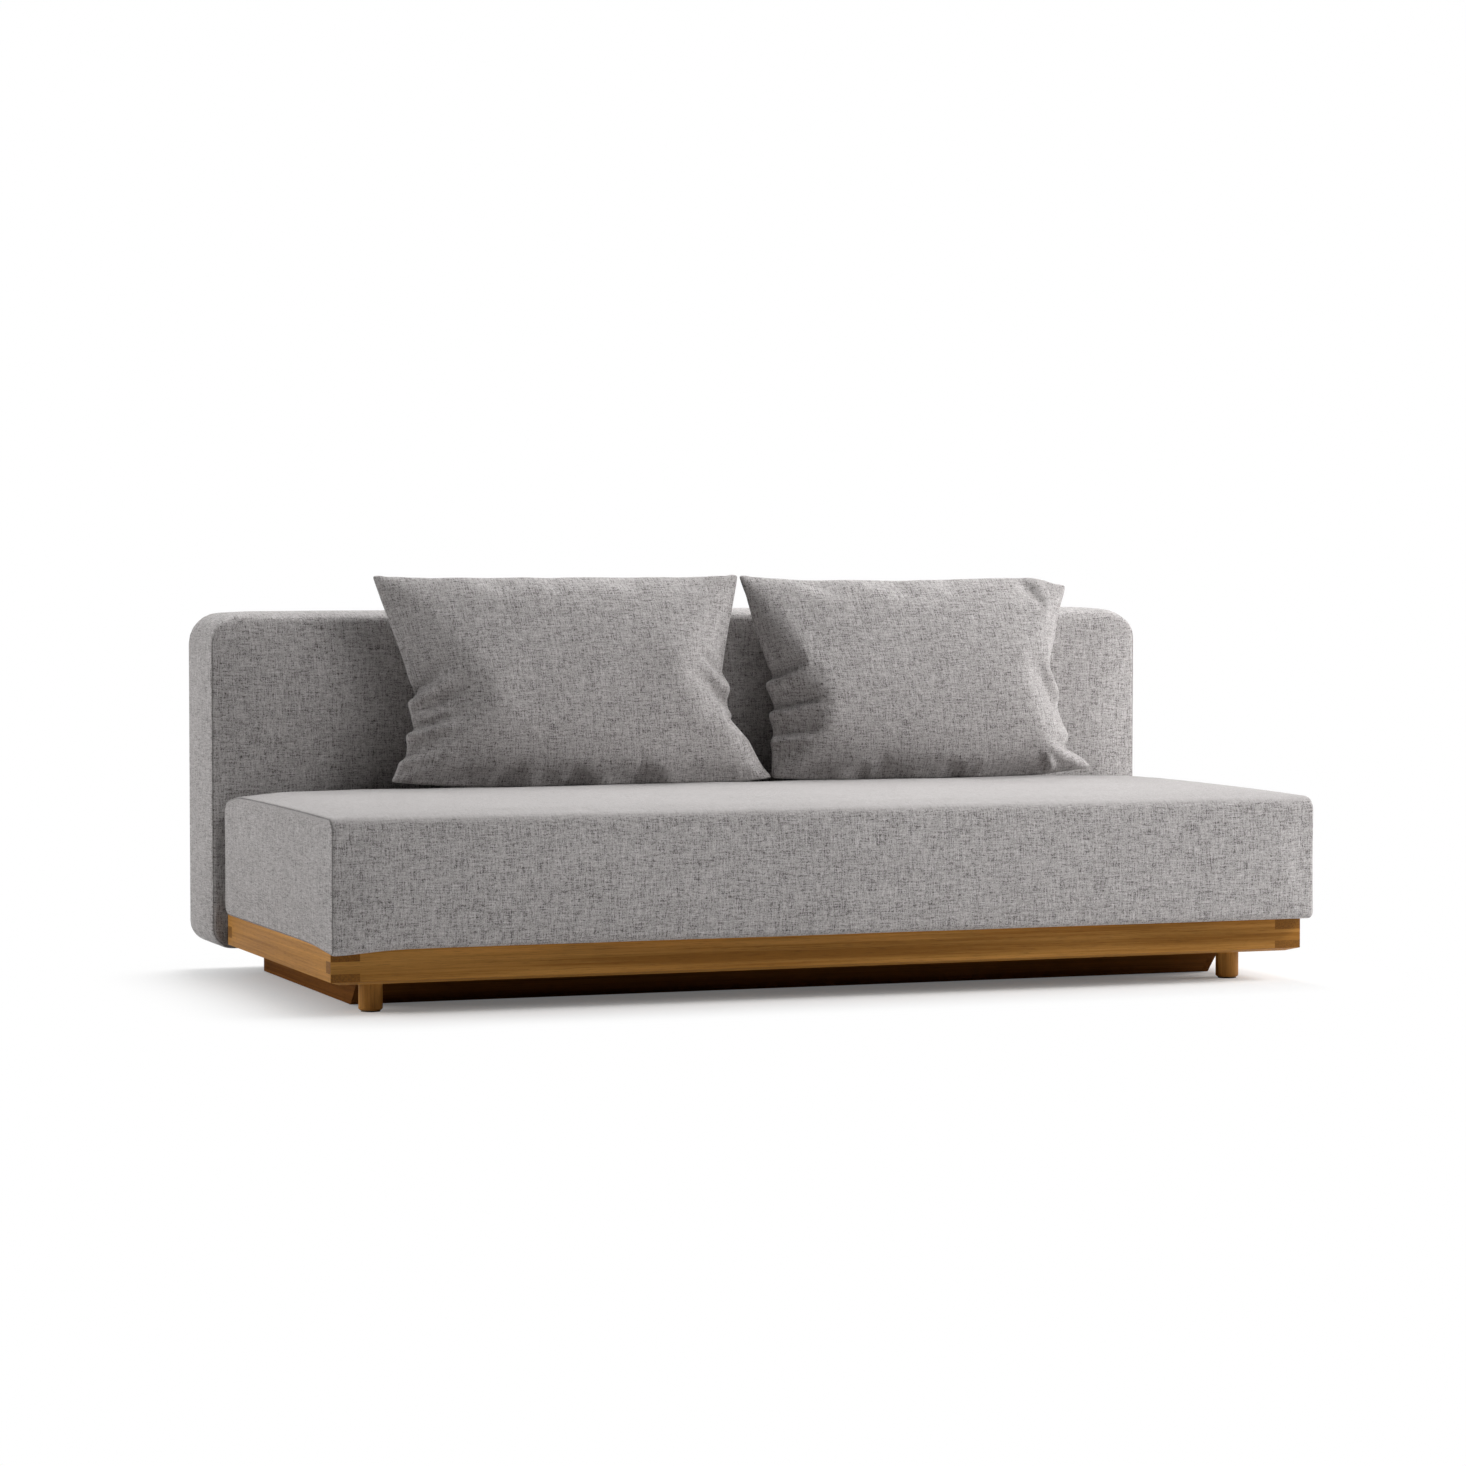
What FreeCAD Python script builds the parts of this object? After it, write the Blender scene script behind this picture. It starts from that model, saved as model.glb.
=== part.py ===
import FreeCAD, Part
import math
import os
import re

import Sketcher

# Sofa bed with an oak frame, a block seat and a block back.
# X runs along the sofa, Y from the front to the back, Z up. The origin lies on the floor
# at the middle of the sofa's width and depth. Lengths are in millimetres, angles in degrees.

SIZES = {
    # Oak frame: four boards joined at the corners by box fingers
    "frame_width": 1960,
    "frame_depth": 789,
    "frame_bottom": 59,
    "finger_height": 22.2,
    "side_board": 55,
    "front_board": 32,
    "chamfer_inset": 22,
    "chamfer_rise": 7,
    # Turned front legs with felt pads, bolted into corner blocks
    "leg_radius": 22.5,
    "leg_inset_side": 104,
    "leg_inset_front": 109,
    "leg_edge": 2.5,
    "felt_thickness": 3,
    "felt_radius": 18,
    "block_side": 38,
    "block_height": 25,
    "bolt_radius": 4,
    "bolt_grip": 50,
    "bolt_head_radius": 7.5,
    "bolt_head_height": 5.5,
    "bolt_clearance": 0.1,
    # Slatted base
    "ledger_size": 20,
    "slat_count": 14,
    "slat_width": 60,
    "slat_thickness": 8,
    "slat_camber": 4,
    "slat_margin": 40,
    "bearer_depth": 38,
    "bearer_bottom": 68,
    "rear_bearer_setback": 91,
    "centre_bearer_setback": 380,
    # Low tray under the seat
    "tray_inset": 94,
    "tray_lift": 2,
    "tray_top": 48,
    "tray_wall": 15,
    "tray_front_setback": 213,
    "tray_rear_reach": 88,
    "tray_panel": 9,
    "tray_block": 32,
    "tray_glide_radius": 15,
    "tray_glide_margin": 40,
    # Casters at the rear of the seat, running forward on steel strips in the tray to their front ends
    "caster_inset": 280,
    "wheel_radius": 20,
    "wheel_width": 18,
    "wheel_groove": 1.5,
    "wheel_groove_width": 6,
    "wheel_edge": 2,
    "axle_radius": 4,
    "fork_wall": 2.5,
    "fork_side_gap": 1,
    "fork_depth": 24,
    "fork_foot": 12,
    "rolling_gap": 0.3,
    "strip_thickness": 1.5,
    "strip_width": 30,
    "strip_setback": 32,
    "strip_end": 22,
    "guide_width": 18,
    "guide_depth": 34,
    "guide_bottom": 24,
    "guide_gap": 0.6,
    # Seat block
    "seat_overhang_side": 8,
    "seat_overhang_front": 43,
    "seat_setback_rear": 4,
    "seat_height": 365,
    "seat_crown": 10,
    "seat_end_crown": 3,
    "seat_front_round": 28,
    "seat_rear_round": 14,
    "seat_bottom_round": 14,
    "seat_end_round": 7,
    "seat_side_draw": 2,
    "seat_board": 12,
    "seat_board_inset": 26,
    "soft_gap": 0.3,
    # Backrest
    "hinge_gap": 14,
    "back_overhang_side": 28,
    "back_bottom": 55,
    "back_top": 719,
    "back_depth": 205,
    "back_corner_top": 62,
    "back_corner_bottom": 42,
    "back_edge_round": 12,
    "back_crown": 5,
    "back_side_draw": 2,
    "foam_side": 40,
    "foam_front": 67,
    "foam_top": 50,
    "foam_bottom": 12,
    "back_ply": 18,
    "back_panel_thickness": 6,
    "stile_depth": 100,
    # Lifting guides and the hinges of the backrest
    "guide_inset": 380,
    "channel_width": 40,
    "channel_depth": 16,
    "channel_wall": 2.5,
    "channel_slot": 16,
    "channel_margin": 2,
    "slide_clearance": 0.3,
    "slider_above": 8,
    "slider_below": 40,
    "pin_inset": 22,
    "pin_radius": 5,
    "running_clearance": 0.05,
    "press_clearance": 0.02,
    "knuckle_radius": 12,
    "arm_width": 15,
    "cheek_wall": 4,
    "cheek_gap": 0.5,
    "cheek_reach": 100,
    "cheek_throat": 50,
    "notch_clearance": 4,
    # Swinging stand behind the backrest
    "stand_radius": 8,
    "stand_tube_wall": 1.5,
    "stand_pivot_height": 620,
    "stand_inset": 390,
    "stand_end": 18,
    "stand_floor_gap": 1,
    "foot_height": 16,
    "foot_wall": 2.5,
    "saddle_wall": 2.5,
    "saddle_width": 25,
    "saddle_height": 44,
    # Loose pillows
    "pillow_height": 416,
    "pillow_thickness": 164,
    "pillow_lean": 6,
    "pillow_seat_press": 10,
    "pillow_back_press": 5,
    "pillow_back_gap": 0.75,
    "pillow_draw_side": 44,
    "pillow_draw_edge": 10,
    "pillow_corner": 9,
    "left_pillow_width": 786,
    "left_pillow_offset": -283,
    "left_pillow_skew": 24,
    "right_pillow_width": 722,
    "right_pillow_offset": 476,
    "right_pillow_skew": 24,
}

# Sizes and places that follow from the driving sizes
PLACES = {
    "saddle_radius": "stand_radius + running_clearance + saddle_wall",
    "overall_depth": "seat_overhang_front + frame_depth + hinge_gap + back_depth + 2 * saddle_radius",
    "frame_front": "seat_overhang_front - overall_depth / 2",
    "frame_rear": "frame_front + frame_depth",
    "frame_side": "frame_width / 2",
    "frame_top": "frame_bottom + 3 * finger_height",
    "inner_side": "frame_side - side_board",
    "inner_front": "frame_front + front_board",
    "inner_rear": "frame_rear - front_board",
    "slat_bottom": "frame_top - slat_thickness - slat_camber",
    "ledger_bottom": "slat_bottom - ledger_size",
    "leg_x": "frame_side - leg_inset_side",
    "leg_y": "frame_front + leg_inset_front",
    "leg_top": "ledger_bottom - block_height",
    "tray_side": "frame_side - tray_inset",
    "tray_inner_side": "tray_side - tray_wall",
    "tray_front": "frame_front + tray_front_setback",
    "tray_rear": "frame_rear + tray_rear_reach",
    "tray_inner_rear": "tray_rear - tray_wall",
    "tray_slant": "tray_wall * sqrt(2)",
    "tray_height": "tray_top - tray_lift",
    "panel_top": "tray_lift + tray_panel",
    "caster_x": "frame_side - caster_inset",
    "wheel_y": "frame_rear - rear_bearer_setback + bearer_depth / 2",
    "wheel_z": "panel_top + strip_thickness + rolling_gap + wheel_radius",
    "seat_side": "frame_side + seat_overhang_side",
    "seat_front": "frame_front - seat_overhang_front",
    "seat_rear": "frame_rear - seat_setback_rear",
    "seat_bottom": "frame_top + soft_gap",
    "back_front": "frame_rear + hinge_gap",
    "back_rear": "back_front + back_depth",
    "back_side": "frame_side + back_overhang_side",
    "cavity_side": "back_side - foam_side",
    "cavity_front": "back_front + foam_front",
    "stile_x": "cavity_side / 2",
    "cavity_bottom": "back_bottom + foam_bottom",
    "cavity_top": "back_top - foam_top",
    "panel_front": "back_rear - back_panel_thickness",
    "board_top": "cavity_bottom + back_ply",
    "guide_x": "frame_side - guide_inset",
    "pin_y": "back_front + pin_inset",
    "pin_z": "back_bottom + pin_inset",
    "lift_travel": "seat_height - 2 * pin_inset - back_bottom",
    "slider_bottom": "pin_z - slider_below",
    "channel_bottom": "slider_bottom - channel_margin",
    "channel_top": "pin_z + lift_travel + slider_above + channel_margin",
    "channel_front": "frame_rear - channel_depth",
    "slot_half": "channel_slot / 2",
    "cheek_half": "arm_width / 2 + cheek_gap + cheek_wall",
    "stand_x": "frame_side - stand_inset",
    "stand_y": "back_rear + saddle_radius",
    "stand_flat_height": "pin_z + lift_travel - (stand_y - pin_y)",
    "foot_bottom": "stand_pivot_height - stand_flat_height + stand_floor_gap",
}

# Forms of the soft pieces, each as shares chosen by hand
ROUND_STEP_SHARES = (0, 1 / 3, 2 / 3, 1)
SEAT_CROWN_SHARES = ((0.94, 0.6), (0.82, 0.9), (0.6, 1))
BACK_CROWN_SHARES = ((0, 0.17), (0.4, 0.09), (0.8, 0.03))
PILLOW_LEVEL_SHARES = ((0, 0), (0.3, 0.07), (0.58, 0.2), (0.82, 0.38), (0.95, 0.56), (1, 0.74))
PILLOW_CORNER_SHARE = 0.75

PLANES = {"XY": "XY_Plane", "XZ": "XZ_Plane", "YZ": "YZ_Plane"}
SIDES = ((-1, "left"), (1, "right"))

document = FreeCAD.newDocument("SofaBed")
sheet = document.addObject("Spreadsheet::Sheet", "Sizes")
pieces = []


def fill_sheet():
    """Write the driving sizes into the spreadsheet, one row each, with an alias."""
    for row, (name, number) in enumerate(SIZES.items(), start=1):
        sheet.set(f"A{row}", name)
        sheet.set(f"B{row}", str(number))
        sheet.setAlias(f"B{row}", name)
    document.recompute()


def formula(text):
    """Return the expression in which each name stands for its cell or its own formula."""

    def resolve(match):
        name = match.group()
        if name in SIZES:
            return "Sizes." + name
        if name in PLACES:
            return "(" + formula(PLACES[name]) + ")"
        return name

    return re.sub(r"[a-z][a-z_]*", resolve, str(text))


def amount(text):
    """Return the number that a formula gives with the sheet's present sizes."""
    return float(sheet.evalExpression(formula(text)))


def bind(thing, **formulas):
    """Bind properties of an object to formulas; a double underscore stands for a dot."""
    for name, text in formulas.items():
        thing.setExpression(name.replace("__", "."), formula(text))


def move(thing, x="0", y="0", z="0"):
    """Bind the place of an object to three formulas."""
    bind(thing, Placement__Base__x=x, Placement__Base__y=y, Placement__Base__z=z)


def keep(thing, label):
    """Name a finished piece and put it on the list of pieces to write out."""
    thing.Label = label
    pieces.append(thing)
    return thing


def block(label, x, y, z):
    """Make a box from three pairs of formulas, each the low and the high side."""
    box = document.addObject("Part::Box", label)
    bind(box, Length=f"{x[1]} - ({x[0]})", Width=f"{y[1]} - ({y[0]})", Height=f"{z[1]} - ({z[0]})")
    move(box, x[0], y[0], z[0])
    return box


def upright(label, radius, x, y, z):
    """Make a standing cylinder between two heights."""
    cylinder = document.addObject("Part::Cylinder", label)
    bind(cylinder, Radius=radius, Height=f"{z[1]} - ({z[0]})")
    move(cylinder, x, y, z[0])
    return cylinder


def lying(label, radius, x, y, z):
    """Make a cylinder that lies along X between two places."""
    cylinder = document.addObject("Part::Cylinder", label)
    cylinder.Placement.Rotation = FreeCAD.Rotation(FreeCAD.Vector(0, 1, 0), 90)
    bind(cylinder, Radius=radius, Height=f"{x[1]} - ({x[0]})")
    move(cylinder, x[0], y, z)
    return cylinder


def join(label, *parts):
    """Fuse solids into one."""
    fused = document.addObject("Part::MultiFuse", label)
    fused.Shapes = list(parts)
    return fused


def cut(label, base, *tools):
    """Cut one solid with one or more tools."""
    result = document.addObject("Part::Cut", label)
    result.Base = base
    result.Tool = tools[0] if len(tools) == 1 else join(label + "_tools", *tools)
    # The ruled faces of the soft forms can't always be merged, so faces stay as they are cut
    result.Refine = False
    return result


def group(label, parts):
    """Hold identical pieces together under one name, each as its own solid."""
    compound = document.addObject("Part::Compound", label)
    compound.Links = list(parts)
    return keep(compound, label)


def new_body(label):
    """Start a body that is built from sketches."""
    return document.addObject("PartDesign::Body", label)


def new_sketch(body, plane):
    """Put an empty sketch on one of the body's own origin planes."""
    sketch = body.newObject("Sketcher::SketchObject", body.Name + "_sketch")
    origin_plane = next(part for part in body.Origin.OriginFeatures if part.Role == PLANES[plane])
    sketch.AttachmentSupport = [(origin_plane, "")]
    sketch.MapMode = "FlatFace"
    return sketch


def arc_radius(start, end, bulge):
    """Return the formula of the radius of an arc with a given chord and height."""
    chord = f"(({end[0]}) - ({start[0]}))^2 + (({end[1]}) - ({start[1]}))^2"
    return f"({chord}) / (8 * ({bulge})) + ({bulge}) / 2"


def add_edge(sketch, start, end, bulge):
    """Add a line, or an arc that bulges outwards, and return its two end positions."""
    first = FreeCAD.Vector(amount(start[0]), amount(start[1]), 0)
    last = FreeCAD.Vector(amount(end[0]), amount(end[1]), 0)
    if bulge is None:
        sketch.addGeometry(Part.LineSegment(first, last), False)
        return 1, 2
    outwards = amount(bulge) > 0
    if not outwards:
        first, last = last, first
    height = abs(amount(bulge))
    chord = last - first
    radius = chord.Length**2 / (8 * height) + height / 2
    left = FreeCAD.Vector(-chord.y, chord.x, 0).normalize()
    centre = (first + last) * 0.5 + left * (radius - height)
    angles = [math.atan2((point - centre).y, (point - centre).x) for point in (first, last)]
    circle = Part.Circle(centre, FreeCAD.Vector(0, 0, 1), radius)
    sketch.addGeometry(Part.ArcOfCircle(circle, *angles), False)
    return (1, 2) if outwards else (2, 1)


def draw(sketch, corners):
    """Draw a closed outline, counter-clockwise, through corners given as formulas.

    A corner is (x, y), or (x, y, bulge) where the edge that leaves it is an arc.
    """
    base = sketch.GeometryCount
    count = len(corners)
    ends = []
    for index, corner in enumerate(corners):
        bulge = corner[2] if len(corner) > 2 else None
        ends.append(add_edge(sketch, corner, corners[(index + 1) % count], bulge))
    for index, corner in enumerate(corners):
        following = (index + 1) % count
        joined = (base + index, ends[index][1], base + following, ends[following][0])
        sketch.addConstraint(Sketcher.Constraint("Coincident", *joined))
        for kind, text in (("DistanceX", corner[0]), ("DistanceY", corner[1])):
            place = Sketcher.Constraint(kind, -1, 1, base + index, ends[index][0], amount(text))
            number = sketch.addConstraint(place)
            sketch.setExpression(f"Constraints[{number}]", formula(text))
        if len(corner) > 2:
            text = arc_radius(corner, corners[following], f"abs({corner[2]})")
            rounding = Sketcher.Constraint("Radius", base + index, amount(text))
            number = sketch.addConstraint(rounding)
            sketch.setExpression(f"Constraints[{number}]", formula(text))


def draw_circle(sketch, x, y, radius):
    """Draw a circle whose centre and radius follow formulas."""
    centre = FreeCAD.Vector(amount(x), amount(y), 0)
    circle = Part.Circle(centre, FreeCAD.Vector(0, 0, 1), amount(radius))
    index = sketch.addGeometry(circle, False)
    for constraint, text in (
        (Sketcher.Constraint("DistanceX", -1, 1, index, 3, amount(x)), x),
        (Sketcher.Constraint("DistanceY", -1, 1, index, 3, amount(y)), y),
        (Sketcher.Constraint("Radius", index, amount(radius)), radius),
    ):
        number = sketch.addConstraint(constraint)
        sketch.setExpression(f"Constraints[{number}]", formula(text))


def pad(body, sketch, length, centred=False):
    """Raise a sketch into a solid, along the plane's normal or evenly to both sides."""
    feature = body.newObject("PartDesign::Pad", body.Name + "_pad")
    feature.Profile = sketch
    feature.SideType = "Symmetric" if centred else "One side"
    bind(feature, Length=length)
    return feature


def pocket(body, sketch):
    """Cut a sketch through the whole body, to both sides of its plane."""
    feature = body.newObject("PartDesign::Pocket", body.Name + "_pocket")
    feature.Profile = sketch
    feature.Type = "ThroughAll"
    feature.SideType = "Symmetric"
    return feature


def extruded(label, plane, corners, length, centred=True):
    """Make a body that is one outline raised to a length."""
    body = new_body(label)
    sketch = new_sketch(body, plane)
    draw(sketch, corners)
    pad(body, sketch, length, centred)
    return body


def turned(label, corners):
    """Make a body of revolution about the body's own Z axis from a half outline."""
    body = new_body(label)
    sketch = new_sketch(body, "XZ")
    draw(sketch, corners)
    feature = body.newObject("PartDesign::Revolution", label + "_turn")
    feature.Profile = sketch
    feature.ReferenceAxis = (sketch, ["V_Axis"])
    feature.Angle = 360
    return body


# Oak frame


def finger_heights():
    """Return the formulas of the four levels between the three fingers of a corner."""
    return [f"frame_bottom + {count} * finger_height" for count in range(4)]


def make_long_board(label, outer_y, front):
    """Make the front or rear board, whose middle finger runs through to the side faces."""
    low, first, second, high = finger_heights()
    full, short = "frame_side", "inner_side"
    corners = [
        (f"-{short}", low),
        (short, low),
        (short, first),
        (full, first),
        (full, second),
        (short, second),
        (short, high),
        (f"-{short}", high),
        (f"-{short}", second),
        (f"-{full}", second),
        (f"-{full}", first),
        (f"-{short}", first),
    ]
    body = new_body(label)
    sketch = new_sketch(body, "XZ")
    draw(sketch, corners)
    pad(body, sketch, "front_board")
    bevel = new_sketch(body, "YZ")
    if front:
        move(body, y=f"{outer_y} + front_board")
        edge = "-front_board"
        inner = "chamfer_inset - front_board"
        draw(bevel, [(edge, low), (inner, low), (edge, f"{low} + chamfer_rise")])
    else:
        move(body, y=outer_y)
        draw(bevel, [("-chamfer_inset", low), ("0", low), ("0", f"{low} + chamfer_rise")])
    pocket(body, bevel)
    return body


def make_side_board(label, side):
    """Make a side board, whose upper and lower fingers run through to the front and rear."""
    low, first, second, high = finger_heights()
    deep = "frame_depth"
    corners = [
        ("0", low),
        (deep, low),
        (deep, first),
        (f"{deep} - front_board", first),
        (f"{deep} - front_board", second),
        (deep, second),
        (deep, high),
        ("0", high),
        ("0", second),
        ("front_board", second),
        ("front_board", first),
        ("0", first),
    ]
    body = new_body(label)
    sketch = new_sketch(body, "YZ")
    draw(sketch, corners)
    pad(body, sketch, "side_board", centred=True)
    ends = new_sketch(body, "YZ")
    bevel_top = f"{low} + chamfer_rise"
    draw(ends, [("0", low), ("chamfer_inset", low), ("0", bevel_top)])
    draw(ends, [(f"{deep} - chamfer_inset", low), (deep, low), (deep, bevel_top)])
    pocket(body, ends)
    outer = f"{side} * side_board / 2"
    inner = f"{side} * (side_board / 2 - chamfer_inset)"
    bevel = new_sketch(body, "XZ")
    corners = [(outer, low), (outer, bevel_top), (inner, low)]
    draw(bevel, corners if side > 0 else corners[::-1])
    pocket(body, bevel)
    move(body, x=f"{side} * (frame_side - side_board / 2)", y="frame_front")
    return keep(body, label)


def make_frame():
    """Make the four oak boards; the rear one is grooved for the lifting guides."""
    keep(make_long_board("frame_front_board", "frame_front", True), "frame_front_board")
    rear = make_long_board("frame_rear_blank", "frame_rear", False)
    grooves = []
    for side, word in SIDES:
        centre = f"{side} * guide_x"
        across = (f"{centre} - channel_width / 2", f"{centre} + channel_width / 2")
        deep = ("channel_front", "frame_rear + channel_depth")
        tall = ("frame_bottom - channel_depth", "frame_top + channel_depth")
        grooves.append(block(f"guide_groove_{word}", across, deep, tall))
    keep(cut("frame_rear_cut", rear, *grooves), "frame_rear_board")
    for side, word in SIDES:
        make_side_board(f"frame_side_board_{word}", side)


# Legs, corner blocks and bolts


def make_legs():
    """Make the two turned legs with felt pads, corner blocks and bolts."""
    bolts = []
    for side, word in SIDES:
        x = f"{side} * leg_x"
        leg = turned(
            f"leg_blank_{word}",
            [
                ("0", "felt_thickness"),
                ("leg_radius - leg_edge", "felt_thickness"),
                ("leg_radius", "felt_thickness + leg_edge"),
                ("leg_radius", "leg_top"),
                ("0", "leg_top"),
            ],
        )
        move(leg, x, "leg_y")
        reach = ("ledger_bottom - bolt_grip", "ledger_bottom")
        hole = upright(f"leg_hole_{word}", "bolt_radius + bolt_clearance", x, "leg_y", reach)
        keep(cut(f"leg_cut_{word}", leg, hole), f"leg_{word}")
        pad_reach = ("0", "felt_thickness")
        keep(upright(f"felt_{word}", "felt_radius", x, "leg_y", pad_reach), f"leg_felt_{word}")
        inner = f"{side} * (leg_x - block_side)"
        outer = f"{side} * inner_side"
        across = (inner, outer) if side > 0 else (outer, inner)
        deep = ("inner_front", "leg_y + block_side")
        corner = block(f"corner_blank_{word}", across, deep, ("leg_top", "ledger_bottom"))
        keep(cut(f"corner_cut_{word}", corner, hole), f"corner_block_{word}")
        shank = upright(f"bolt_shank_{word}", "bolt_radius", x, "leg_y", reach)
        head = document.addObject("Part::Prism", f"bolt_head_{word}")
        head.Polygon = 6
        bind(head, Circumradius="bolt_head_radius", Height="bolt_head_height")
        move(head, x, "leg_y", "ledger_bottom")
        bolts.append(join(f"bolt_{word}", shank, head))
    group("leg_bolts", bolts)


# Slatted base


def make_slats():
    """Make the ledgers, the two bearers and the sprung slats that carry the seat block."""
    width = ("-inner_side", "inner_side")
    ledger = ("ledger_bottom", "slat_bottom")
    front = ("inner_front", "inner_front + ledger_size")
    rear = ("inner_rear - ledger_size", "inner_rear")
    keep(block("ledger_a", width, front, ledger), "slat_ledger_front")
    keep(block("ledger_b", width, rear, ledger), "slat_ledger_rear")
    tall = ("bearer_bottom", "slat_bottom")
    for word, setback in (("rear", "rear_bearer_setback"), ("centre", "centre_bearer_setback")):
        start = f"frame_rear - {setback}"
        keep(block(f"bearer_{word}", width, (start, f"{start} + bearer_depth"), tall), f"{word}_bearer")
    count = int(amount("slat_count"))
    slats = []
    camber = "slat_camber"
    for index in range(count):
        slat = extruded(
            f"slat_{index + 1}",
            "YZ",
            [
                ("inner_front", "slat_bottom", f"-{camber}"),
                ("inner_rear", "slat_bottom"),
                ("inner_rear", "slat_bottom + slat_thickness", camber),
                ("inner_front", "slat_bottom + slat_thickness"),
            ],
            "slat_width",
        )
        run = "(2 * (inner_side - slat_margin) - slat_width)"
        move(slat, x=f"slat_margin + slat_width / 2 - inner_side + {run} * {index} / (slat_count - 1)")
        slats.append(slat)
    group("slats", slats)


# Tray


def make_tray():
    """Make the low tray: slanted front, two ends, rear, bottom panel, blocks and glides."""
    low, high = "tray_lift", "tray_top"
    for side, word in SIDES:
        end = extruded(
            f"tray_end_blank_{word}",
            "YZ",
            [
                ("tray_front", low),
                ("tray_rear", low),
                ("tray_rear", high),
                ("tray_front - tray_height", high),
            ],
            "tray_wall",
        )
        move(end, x=f"{side} * (tray_side - tray_wall / 2)")
        keep(end, f"tray_end_{word}")
    between = "2 * tray_inner_side"
    front = extruded(
        "tray_front_blank",
        "YZ",
        [
            ("tray_front", low),
            ("tray_front + tray_slant", low),
            ("tray_front + tray_slant - tray_height", high),
            ("tray_front - tray_height", high),
        ],
        between,
    )
    keep(front, "tray_front_board")
    width = ("-tray_inner_side", "tray_inner_side")
    keep(block("tray_rear_blank", width, ("tray_inner_rear", "tray_rear"), (low, high)), "tray_rear_board")
    panel = extruded(
        "tray_panel_blank",
        "YZ",
        [
            ("tray_front + tray_slant", low),
            ("tray_inner_rear", low),
            ("tray_inner_rear", "panel_top"),
            ("tray_front + tray_slant - tray_panel", "panel_top"),
        ],
        between,
    )
    keep(panel, "tray_bottom_panel")
    blocks = []
    for side, word in SIDES:
        x, near = f"{side} * tray_inner_side", f"{side} * (tray_inner_side - tray_block)"
        corners = [(x, "tray_inner_rear - tray_block"), (x, "tray_inner_rear"), (near, "tray_inner_rear")]
        body = new_body(f"glue_block_{word}")
        sketch = new_sketch(body, "XY")
        draw(sketch, corners if side > 0 else corners[::-1])
        pad(body, sketch, "tray_top - panel_top")
        move(body, z="panel_top")
        blocks.append(body)
    group("tray_corner_blocks", blocks)
    glides = []
    first, last = "tray_front + tray_slant + tray_glide_margin", "tray_inner_rear - tray_glide_margin"
    for column in (-1, 0, 1):
        for row, y in enumerate((first, f"({first} + {last}) / 2", last)):
            x = f"{column} * (tray_inner_side - tray_glide_margin)"
            name = f"glide_{column + 2}_{row + 1}"
            glides.append(upright(name, "tray_glide_radius", x, y, ("0", low)))
    group("tray_glides", glides)


# Casters, their strips and the side guides


def make_caster(side, word):
    """Make one caster: strip in the tray, fork under the bearer, axle and grooved wheel."""
    x = f"{side} * caster_x"
    inner_half = "(wheel_width / 2 + fork_side_gap)"
    outer_half = "(wheel_width / 2 + fork_side_gap + fork_wall)"
    strip_across = (f"{x} - strip_width / 2", f"{x} + strip_width / 2")
    strip_run = ("tray_front + strip_setback", "wheel_y + strip_end")
    strip = block(f"strip_{word}", strip_across, strip_run, ("panel_top", "panel_top + strip_thickness"))
    keep(strip, f"wheel_strip_{word}")
    foot = f"{outer_half} + fork_foot"
    crown = "bearer_bottom - fork_wall"
    hang = "wheel_z - axle_radius - fork_wall"
    fork = extruded(
        f"fork_blank_{word}",
        "XZ",
        [
            (f"-{outer_half}", hang),
            (f"-{inner_half}", hang),
            (f"-{inner_half}", crown),
            (inner_half, crown),
            (inner_half, hang),
            (outer_half, hang),
            (outer_half, crown),
            (foot, crown),
            (foot, "bearer_bottom"),
            (f"-({foot})", "bearer_bottom"),
            (f"-({foot})", crown),
            (f"-{outer_half}", crown),
        ],
        "fork_depth",
    )
    move(fork, x, "wheel_y")
    reach = (f"{x} - {outer_half} - fork_wall", f"{x} + {outer_half} + fork_wall")
    hole = lying(f"fork_hole_{word}", "axle_radius + press_clearance", reach, "wheel_y", "wheel_z")
    keep(cut(f"fork_cut_{word}", fork, hole), f"caster_fork_{word}")
    keep(lying(f"axle_{word}", "axle_radius", reach, "wheel_y", "wheel_z"), f"caster_axle_{word}")
    half, rim = "wheel_width / 2", "wheel_radius"
    bore = "axle_radius + running_clearance"
    wheel = turned(
        f"wheel_blank_{word}",
        [
            (bore, f"-{half}"),
            (f"{rim} - wheel_edge", f"-{half}"),
            (rim, f"wheel_edge - {half}"),
            (rim, "-wheel_groove_width / 2"),
            (f"{rim} - wheel_groove", "0"),
            (rim, "wheel_groove_width / 2"),
            (rim, f"{half} - wheel_edge"),
            (f"{rim} - wheel_edge", half),
            (bore, half),
        ],
    )
    wheel.Placement.Rotation = FreeCAD.Rotation(FreeCAD.Vector(0, 1, 0), 90)
    move(wheel, x, "wheel_y", "wheel_z")
    keep(wheel, f"caster_wheel_{word}")


def make_side_guide(side, word):
    """Make the nylon block that keeps the seat centred between the tray's ends."""
    outer = f"{side} * (tray_inner_side - guide_gap)"
    inner = f"{side} * (tray_inner_side - guide_gap - guide_width)"
    across = (inner, outer) if side > 0 else (outer, inner)
    deep = ("wheel_y - guide_depth / 2", "wheel_y + guide_depth / 2")
    guide = block(f"nylon_{word}", across, deep, ("guide_bottom", "bearer_bottom"))
    keep(guide, f"side_guide_{word}")


# Lifting guides and backrest hinges


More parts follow.
